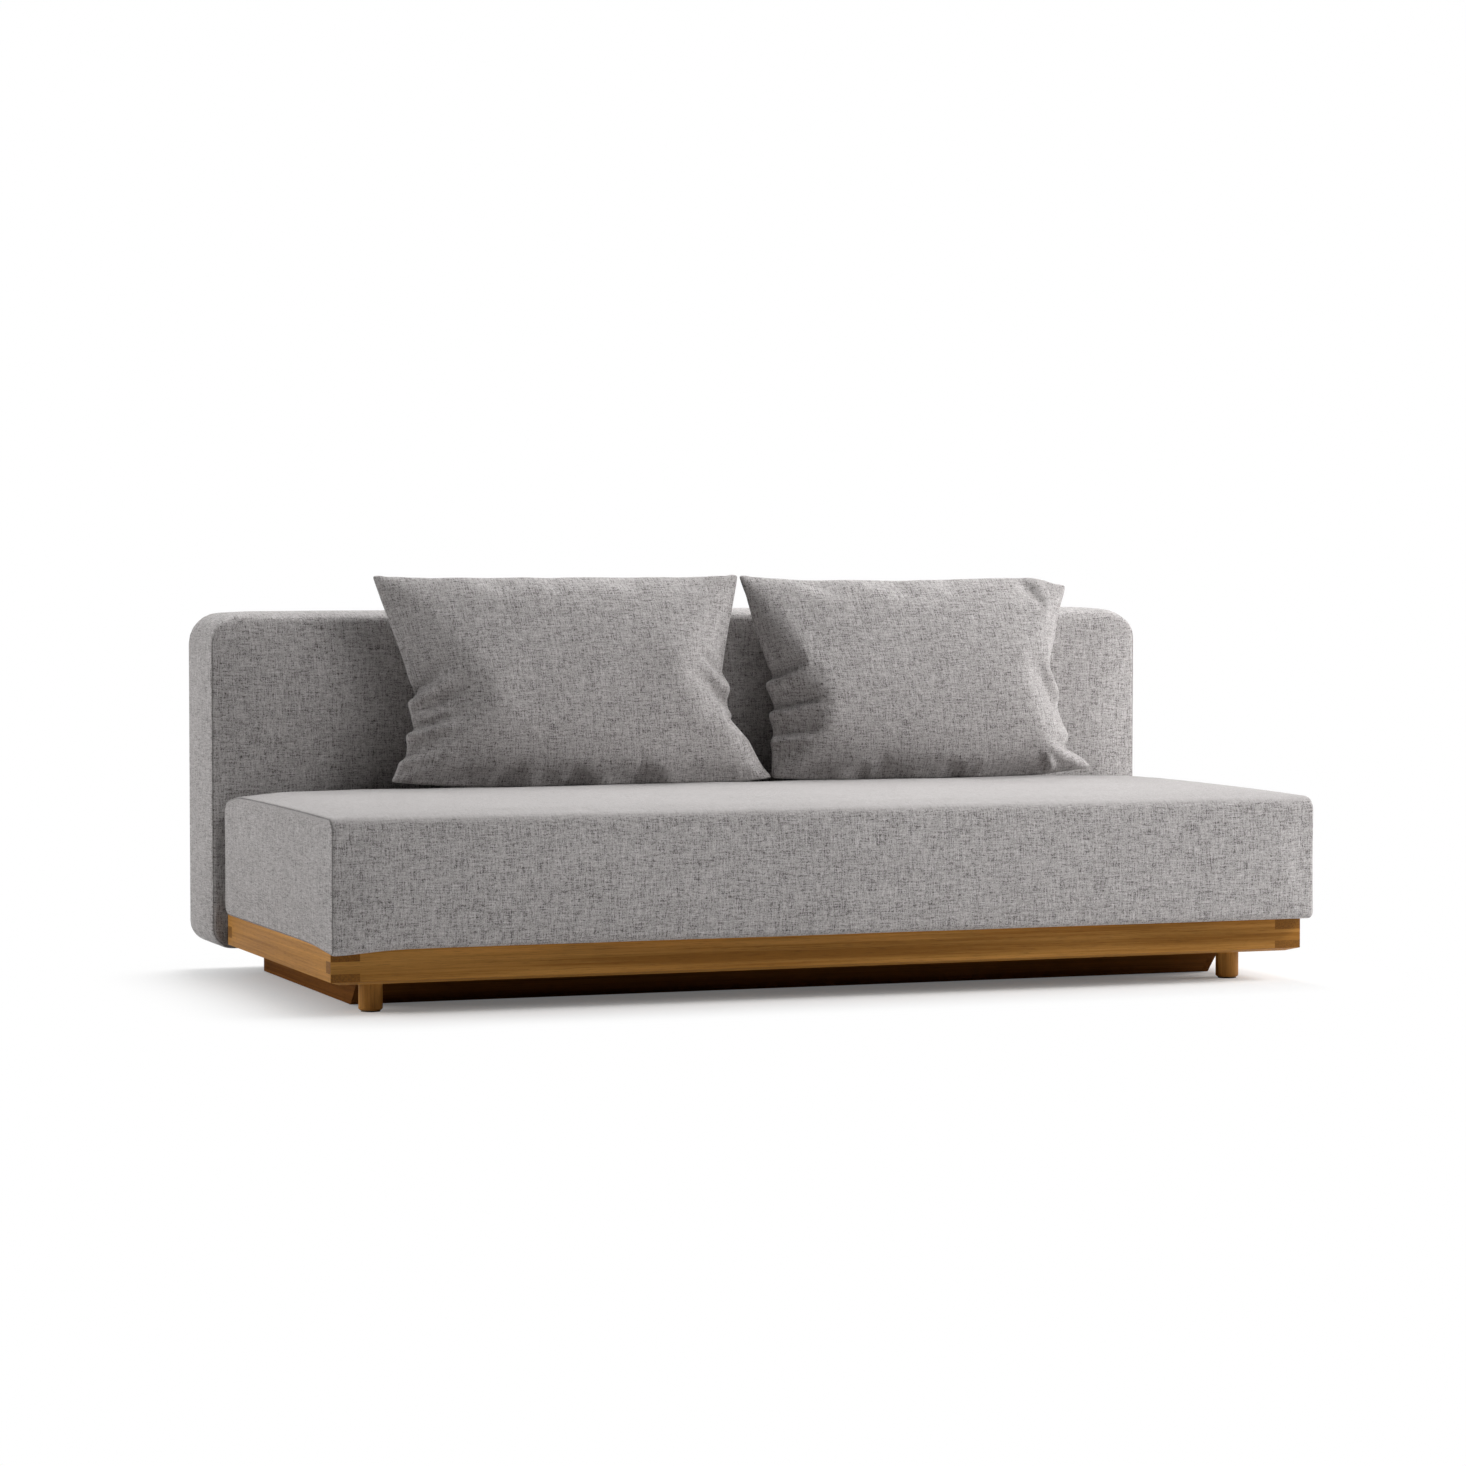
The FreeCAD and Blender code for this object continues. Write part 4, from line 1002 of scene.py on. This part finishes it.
class BackBlock(SewnBlock):
    """The back: front and rear panels sewn to a border, and a soft fold over the top's front."""

    top_round = 0.036
    top_corner = 0.062
    seam_below = 0.045
    least_round = 0.002
    wave = 0.25
    uneven = 0.0012
    panel_gap = 0.006
    panel_fade = (-0.002, 0.012)
    rear_zone = (0.012, 0.004)

    def is_sewn(self, place: Vector) -> bool:
        """Say whether a place is at the rear, or below the top that the front panel wraps over."""
        return place.y > 0.4 or place.z < self.high[2] - self.seam_below

    def fold_over(self, points: np.ndarray) -> None:
        """Round the edge between the front and the top, following the outline round its corners.

        Args:
            points: The cover's points, changed in place.
        """
        x, y, z = points.T
        half = (self.high[0] - self.low[0]) / 2
        centre = half - self.top_corner, self.high[2] - self.top_corner
        outer = np.maximum(np.stack([np.abs(x), z], axis=1) - centre, 0)
        length = np.maximum(np.linalg.norm(outer, axis=1), TINY)
        facing_up = outer[:, 1] / length
        radius = np.maximum(self.top_round * facing_up**1.5, NEAR)
        inwards = np.stack([self.top_corner - length, y - self.low[1]], axis=1)
        share = 1 - inwards / radius[:, None]
        reach = np.linalg.norm(share, axis=1)
        beyond = (share > 0).all(axis=1) & (reach > 1) & (radius > self.least_round)
        pulled = np.where(beyond[:, None], share / np.maximum(reach, 1)[:, None], share)
        drop, push = ((share - pulled) * radius[:, None]).T
        x -= np.sign(x) * drop * outer[:, 0] / length
        z -= drop * facing_up
        y += push

    def tuck_in(self, points: np.ndarray) -> None:
        """Set the rear face back behind the dust cloth.

        Args:
            points: The cover's points, changed in place.
        """
        x, y, z = points.T
        low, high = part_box("back_panel")
        inside = ease(y, *(low.y - depth for depth in self.rear_zone))
        inside *= within(x, low.x, high.x, *self.panel_fade)
        inside *= within(z, low.z, high.z, *self.panel_fade)
        y += (low.y - self.panel_gap - y) * inside

    def swell(self) -> None:
        """Crown the front, set the rear face back and stuff the cover."""
        points = read_points(self.cover)
        deep = (points[:, 1] - self.low[1]) / (self.high[1] - self.low[1])
        loose = 1 - self.hold(0.08, 0.03, 0.08)
        facing_front = ease(-read_rows(self.cover.data.vertices, "normal")[:, 1], 0.5, 1.0)
        points[:, 1] -= self.crown * facing_front * loose
        self.ruffle(points, 11, self.wave, self.uneven * loose)
        self.fold_over(points)
        self.tuck_in(points)
        write_points(self.cover, points)
        self.stuff(np.maximum(self.hold(0.07, 0.04, 0.07), ease(deep, 0.93, 0.97)))


@dataclass(frozen=True)
class Crease:
    """A soft fold in a pillow, from its edge towards its middle, in the pillow's own plane."""

    start: tuple[float, float]
    end: tuple[float, float]
    width: float
    depth: float

    def swell(self, points: np.ndarray) -> np.ndarray:
        """Return how far the fold stands out, as a ridge with a valley along its left side.

        Args:
            points: The flat panel's points.

        Returns:
            One height per point.
        """
        from_start = points[:, [0, 2]] - self.start
        run = np.subtract(self.end, self.start)
        length = np.linalg.norm(run)
        run /= length
        along = from_start @ run / length
        across = from_start @ (-run[1], run[0])
        fading = ease(1 - along, 0.0, 0.75) * ease(along, -0.15, 0.05)
        wide = self.width * (0.6 + 0.4 * np.clip(1 - along, 0, 1))
        ridge = np.exp(-((across / wide) ** 2))
        valley = np.exp(-(((across - 1.6 * wide) / (0.9 * wide)) ** 2))
        return self.depth * fading * (ridge - 0.55 * valley)


LEFT_CREASES = (
    Crease((-0.385, -0.062), (-0.205, 0.040), 0.018, 0.023),
    Crease((-0.345, -0.082), (-0.165, -0.026), 0.014, 0.012),
    Crease((-0.385, -0.128), (-0.180, -0.072), 0.014, 0.018),
    Crease((-0.385, -0.186), (-0.290, -0.152), 0.010, 0.011),
    Crease((0.350, -0.026), (0.190, 0.070), 0.020, 0.012),
    Crease((0.330, 0.040), (0.225, 0.095), 0.014, 0.005),
    Crease((0.405, -0.170), (0.180, -0.040), 0.030, 0.009),
    Crease((0.405, -0.100), (0.310, -0.066), 0.011, 0.007),
)
RIGHT_CREASES = (
    Crease((-0.368, -0.020), (-0.250, 0.022), 0.018, 0.013),
    Crease((-0.360, -0.090), (-0.215, -0.056), 0.014, 0.015),
    Crease((-0.360, -0.150), (-0.235, -0.124), 0.012, 0.014),
    Crease((0.345, -0.045), (0.215, 0.080), 0.022, 0.008),
    Crease((0.360, -0.130), (0.150, -0.116), 0.020, 0.006),
    Crease((0.262, -0.215), (0.230, -0.165), 0.009, 0.009),
    Crease((0.262, 0.215), (0.308, 0.105), 0.016, -0.008),
)


@dataclass
class LoosePillow:
    """A stuffed pillow: two panels sewn edge to edge, blown up, leant and pressed into place.

    The sides are drawn in, more so below, and the top and the foot arched outwards. Bands are the
    zones smoothed after stuffing: half the width, lowest and highest place, rounds of smoothing.
    """

    side: Side
    seat: Object
    back: Object
    wardrobe: Wardrobe
    width: float
    offset: float
    skew: float
    seed: int
    creases: tuple[Crease, ...]
    left_draw: float
    right_draw: float
    taper: float
    height: float = 0.448
    low_draw: float = 0.5
    top_arch: float = 0.012
    foot_arch: float = 0.020
    ear_drop: float = 0.0
    ear_spread: float = 0.05
    panel_gap: float = 0.008
    volume: float = 0.036
    wave: float = 0.12
    uneven: float = 0.0007
    lean: float = 7.5
    sag: float = 0.22
    pressed_back: float = 0.008
    pressed_down: float = 0.003
    spacing: float = 0.0085
    quick_spacing: float = 0.02
    bands: tuple[tuple[float, float, float, int], ...] = (
        (0.25, -0.28, 0.28, 9),
        (0.30, -0.33, 0.33, 9),
        (0.35, -0.38, 0.38, 9),
        (0.36, 0.42, 1.0, 4),
        (0.42, 0.42, 1.0, 4),
        (0.47, 0.42, 1.0, 4),
    )
    cover: Object | None = None

    @property
    def name(self) -> str:
        """Return the piece's name."""
        return f"pillow_cover_{self.side.word}"

    def cut_panels(self) -> None:
        """Cut two flat panels with drawn-in sides and sew them along their edges."""
        ops.object.select_all(action="DESELECT")
        spacing = self.spacing
        columns, rows = round(self.width / spacing), round(self.height / spacing)
        ops.mesh.primitive_grid_add(x_subdivisions=columns, y_subdivisions=rows, size=1)
        self.cover = bpy.context.active_object
        self.cover.name = self.cover.data.name = self.name
        with Editing(self.cover) as bench:
            ops.mesh.select_all(action="SELECT")
            ops.transform.resize(value=(self.width, self.height, 1))
            upright = {"orient_axis": "X", "center_override": (0, 0, 0)}
            ops.transform.rotate(value=-math.pi / 2, **upright)
            ops.transform.translate(value=(0, -self.panel_gap / 2, 0))
            ops.mesh.duplicate()
            ops.transform.translate(value=(0, self.panel_gap, 0))
            ops.mesh.flip_normals()
            bench.pick("EDGE", lambda edge: edge.is_boundary)
            ops.mesh.bridge_edge_loops()
            ops.mesh.select_all(action="SELECT")
            ops.mesh.normals_make_consistent(inside=False)
        project_weave(self.cover)
        points = read_points(self.cover)
        x, _, z = points.T
        u, v = x / (self.width / 2), z / (self.height / 2)
        draw = np.where(u < 0, self.left_draw, self.right_draw)
        arch = np.where(v < 0, self.foot_arch, self.top_arch)
        x -= np.sign(u) * draw * (1 - v**2) * (1 - self.low_draw * v) * np.abs(u) ** 3
        z += np.sign(v) * arch * (1 - u**2) * v**2
        from_ear = (x - self.width / 2) ** 2 + (z - self.height / 2) ** 2
        z -= self.ear_drop * np.exp(-from_ear / self.ear_spread**2)
        write_points(self.cover, points)
        log.info("%s: %d faces", self.name, len(self.cover.data.polygons))

    def stuff(self) -> None:
        """Lay the folds into the flat panels and blow the cover up."""
        points = read_points(self.cover)
        y = points[:, 1]
        folds = sum(crease.swell(points) for crease in self.creases)
        y += np.where(y < 0, -folds, 0.5 * folds)
        y += ripple(points, self.seed, self.wave) * self.uneven
        write_points(self.cover, points)
        loose = {"stiffness": 30.0, "bending": 3.0, "damping": 15.0, "drag": 8.0, "cap": 0.14}
        Stuffing(volume=self.volume, frames=40, **loose).fill(self.cover)
        with Editing(self.cover) as bench:
            for reach, low, high, rounds in self.bands:
                bench.pick(
                    "VERT",
                    lambda point: low * self.height < point.co.z < high * self.height
                    and abs(point.co.x) < reach * self.width,
                )
                ops.mesh.vertices_smooth(factor=0.5, repeat=rounds)
        size = np.ptp(read_points(self.cover), axis=0)
        log.info("%s: %s wide, deep and tall", self.name, np.round(size, 3))

    def seat_in_place(self) -> None:
        """Skew and lean the pillow, set it down and press it flat where it rests."""
        x, y, z = read_points(self.cover).T
        up = z / (self.height / 2)
        x = x * (1 - self.taper * up) - self.skew * up + self.offset
        y = y * (1 - self.sag * up)
        angle = math.radians(self.lean)
        sine, cosine = math.sin(angle), math.cos(angle)
        y, z = y * cosine + z * sine, z * cosine - y * sine
        low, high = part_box(f"pillow_{self.side.word}")
        y += high.y + self.pressed_back - y.max()
        z += low.z - self.pressed_down - z.min()
        points = np.stack([x, y, z], axis=1)
        self.press(points, self.back, Axis.DEPTH)
        self.press(points, self.seat, Axis.UPRIGHT)
        write_points(self.cover, points)

    def press(self, points: np.ndarray, support: Object, axis: Axis) -> None:
        """Move points that lie inside a support out of it, along one axis.

        Args:
            points: The pillow's points, changed in place.
            support: The seat's or the back's cover.
            axis: DEPTH for the back, which is behind, or UPRIGHT for the seat, which is below.
        """
        corners = [vertex.co for vertex in support.data.vertices]
        faces = [list(face.vertices) for face in support.data.polygons]
        tree = BVHTree.FromPolygons(corners, faces)
        way = 1.0 if axis == Axis.DEPTH else -1.0
        gap, run_up = 0.0006, 0.5
        for index, point in enumerate(points):
            start = Vector(point)
            start[axis.value] -= way * run_up
            hit = tree.ray_cast(start, axis.vector * way)[0]
            if hit is None:
                continue
            limit = hit[axis.value] - way * gap
            if (point[axis.value] - limit) * way > 0:
                points[index][axis.value] = limit

    def make(self) -> Object:
        """Build the pillow.

        Returns:
            The finished cover.
        """
        self.cut_panels()
        self.stuff()
        finer(self.cover)
        self.seat_in_place()
        self.wardrobe.put_on(self.cover, self.wardrobe.weave)
        body = f"pillow_{self.side.word}"
        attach(self.cover, body)
        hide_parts(body)
        log.info("%s: made", self.name)
        return self.cover


# Studio


def aim(thing: Object, place: Triple, ahead: Vector) -> None:
    """Set a camera or a lamp up at a place, looking along a direction.

    Args:
        thing: The camera or the lamp.
        place: Where it stands.
        ahead: The direction.
    """
    bpy.context.scene.collection.objects.link(thing)
    thing.location = place
    thing.rotation_mode = "QUATERNION"
    thing.rotation_quaternion = ahead.to_track_quat("-Z", "Y")


LAMPS = (  # name, place, the point it is aimed at, size in metres, power in watts
    ("light_above_rear", (0.4, 1.6, 3.2), (0.2, 0.0, 0.3), 2.4, 132.0),
    ("light_front_high", (2.6, -4.2, 4.2), (0.3, 0.0, 0.4), 2.0, 35.0),
    ("light_right_high", (4.2, -2.4, 3.4), (0.6, 0.0, 0.4), 2.0, 200.0),
    ("light_right_low", (5.0, -0.9, 1.3), (0.8, 0.0, 0.4), 1.6, 135.0),
    ("light_left", (-5.6, 1.2, 1.6), (-0.9, 0.1, 0.4), 2.4, 147.0),
)


@dataclass
class Studio:
    """White floor and surroundings, soft lights and the camera."""

    camera_place: Triple = (-2.9215, -7.84385, 0.8518)
    camera_yaw: float = 20.27
    camera_pitch: float = 2.53
    lens: float = 103.46
    surround: float = 0.03
    floor_glow: float = 0.12
    floor_fade: float = 0.45
    fade_from: tuple[float, float] = (0.80, 0.33)
    white: tuple[float, ...] = (1, 1, 1, 1)

    def set_camera(self) -> None:
        """Put the camera where the photograph was taken from."""
        data = bpy.data.cameras.new("camera")
        data.lens = self.lens
        data.sensor_width = 36
        data.clip_end = 200
        camera = bpy.data.objects.new("camera", data)
        yaw, pitch = math.radians(self.camera_yaw), math.radians(self.camera_pitch)
        level = math.cos(pitch)
        ahead = Vector((math.sin(yaw) * level, math.cos(yaw) * level, -math.sin(pitch)))
        aim(camera, self.camera_place, ahead)
        bpy.context.scene.camera = camera

    def lay_floor(self) -> None:
        """Lay a white floor that keeps the shadow near the sofa and is plain white further off."""
        ops.object.select_all(action="DESELECT")
        ops.mesh.primitive_circle_add(vertices=96, radius=30, fill_type="NGON")
        floor = bpy.context.active_object
        floor.name = "floor"
        desk = NodeDesk("floor_white")
        apart = desk.add("SeparateXYZ", vector=desk.add("TexCoord").outputs["Object"])
        beside = []
        for place, half in zip(apart.outputs, self.fade_from):
            past = desk.math("SUBTRACT", desk.math("ABSOLUTE", place), half)
            beside.append(desk.math("MAXIMUM", past, 0.0))
        distance = desk.add("VectorMath", operation="LENGTH")
        desk.feed(distance.inputs[0], desk.add("CombineXYZ", x=beside[0], y=beside[1]).outputs[0])
        far = desk.add("MapRange", interpolation_type="SMOOTHSTEP", from_max=self.floor_fade)
        desk.feed(far.inputs["Value"], distance.outputs["Value"])
        seen = desk.add("LightPath").outputs["Is Camera Ray"]
        glow = desk.times(seen, self.floor_glow)
        near_glow = desk.add("Emission", color=self.white, strength=glow)
        lit = desk.add("AddShader")
        desk.feed(lit.inputs[0], desk.shader.outputs[0])
        desk.feed(lit.inputs[1], near_glow.outputs[0])
        white = desk.add("Emission", color=self.white, strength=1.0)
        mix = desk.add("MixShader")
        ends = (desk.times(far.outputs[0], seen), lit.outputs[0], white.outputs[0])
        for socket, end in zip(mix.inputs, ends):
            desk.feed(socket, end)
        desk.feed(desk.tree.nodes["Material Output"].inputs[0], mix.outputs[0])
        floor.data.materials.append(desk.finish((0.86, 0.86, 0.86, 1), 0.9, specular_ior_level=0.1))

    def light_up(self) -> None:
        """Set the surroundings, white where the camera sees them, and hang the soft lights."""
        world = bpy.data.worlds.new("surroundings")
        bpy.context.scene.world = world
        world.use_nodes = True
        tree = world.node_tree
        tree.nodes.clear()
        kinds = ("OutputWorld", "MixShader", "LightPath")
        output, mix, path = (tree.nodes.new("ShaderNode" + kind) for kind in kinds)
        tree.links.new(path.outputs["Is Camera Ray"], mix.inputs[0])
        for socket, strength in zip(mix.inputs[1:3], (self.surround, 1.0)):
            background = tree.nodes.new("ShaderNodeBackground")
            background.inputs[0].default_value = self.white
            background.inputs[1].default_value = strength
            tree.links.new(background.outputs[0], socket)
        tree.links.new(mix.outputs[0], output.inputs[0])
        for name, place, target, size, power in LAMPS:
            data = bpy.data.lights.new(name, "AREA")
            data.shape = "SQUARE"
            data.size = size
            data.energy = power
            aim(bpy.data.objects.new(name, data), place, Vector(target) - Vector(place))

    def set_up(self) -> None:
        """Set up the camera, the floor and the lights."""
        self.set_camera()
        self.lay_floor()
        self.light_up()
        bpy.context.scene.view_settings.view_transform = "Standard"
        log.info("studio set up")


@dataclass
class SofaBed:
    """The whole sofa bed."""

    wardrobe: Wardrobe = field(default_factory=Wardrobe)

    def make_seat(self) -> Object:
        """Build the seat.

        Returns:
            The finished cover.
        """
        low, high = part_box("seat_cushion")
        crown = 0.010
        block = SeatBlock(
            name="seat_upholstery",
            node="seat_cushion",
            body="seat",
            run=Axis.ALONG,
            low=(low.x, low.y, low.z),
            high=(high.x, high.y, high.z - crown),
            corners={(-1, -1): 0.014, (1, -1): 0.026, (1, 1): 0.030, (-1, 1): 0.028},
            end_round=0.007,
            crown=crown,
            wardrobe=self.wardrobe,
            # The seat's top gets the full painted sheen calming.
            lain_on=1.0,
        )
        return block.make()

    def make_back(self) -> Object:
        """Build the back.

        Returns:
            The finished cover.
        """
        low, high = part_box("back_cushion")
        crown = 0.005
        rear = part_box("back_panel")[0].y
        block = BackBlock(
            name="back_upholstery",
            node="back_cushion",
            body="back",
            run=Axis.DEPTH,
            low=(low.x, low.y + crown, low.z),
            high=(high.x, rear + 0.0055, high.z),
            corners={(-1, -1): 0.042, (1, -1): 0.042, (1, 1): 0.062, (-1, 1): 0.062},
            end_round=0.010,
            crown=crown,
            wardrobe=self.wardrobe,
        )
        return block.make()

    def make(self) -> None:
        """Build every piece in order."""
        Woodwork(self.wardrobe).dress()
        Ironwork(self.wardrobe).dress()
        seat, back = self.make_seat(), self.make_back()
        shared = {"seat": seat, "back": back, "wardrobe": self.wardrobe}
        left = {"width": 0.796, "offset": -0.283, "skew": 0.021, "left_draw": 0.034}
        left |= {"right_draw": 0.044, "taper": 0.022}
        LoosePillow(Side.LEFT, seed=3, creases=LEFT_CREASES, **left, **shared).make()
        right = {"width": 0.730, "offset": 0.476, "skew": 0.024, "left_draw": 0.002}
        right |= {"right_draw": 0.026, "taper": -0.012, "top_arch": 0.006, "ear_drop": 0.022}
        LoosePillow(Side.RIGHT, seed=8, creases=RIGHT_CREASES, **right, **shared).make()


def main() -> None:
    """Build the sofa bed in its studio."""
    logging.basicConfig(level=logging.INFO, format="%(name)s: %(message)s")
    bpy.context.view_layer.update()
    Studio().set_up()
    SofaBed().make()
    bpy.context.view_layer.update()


if __name__ == "__main__":
    main()
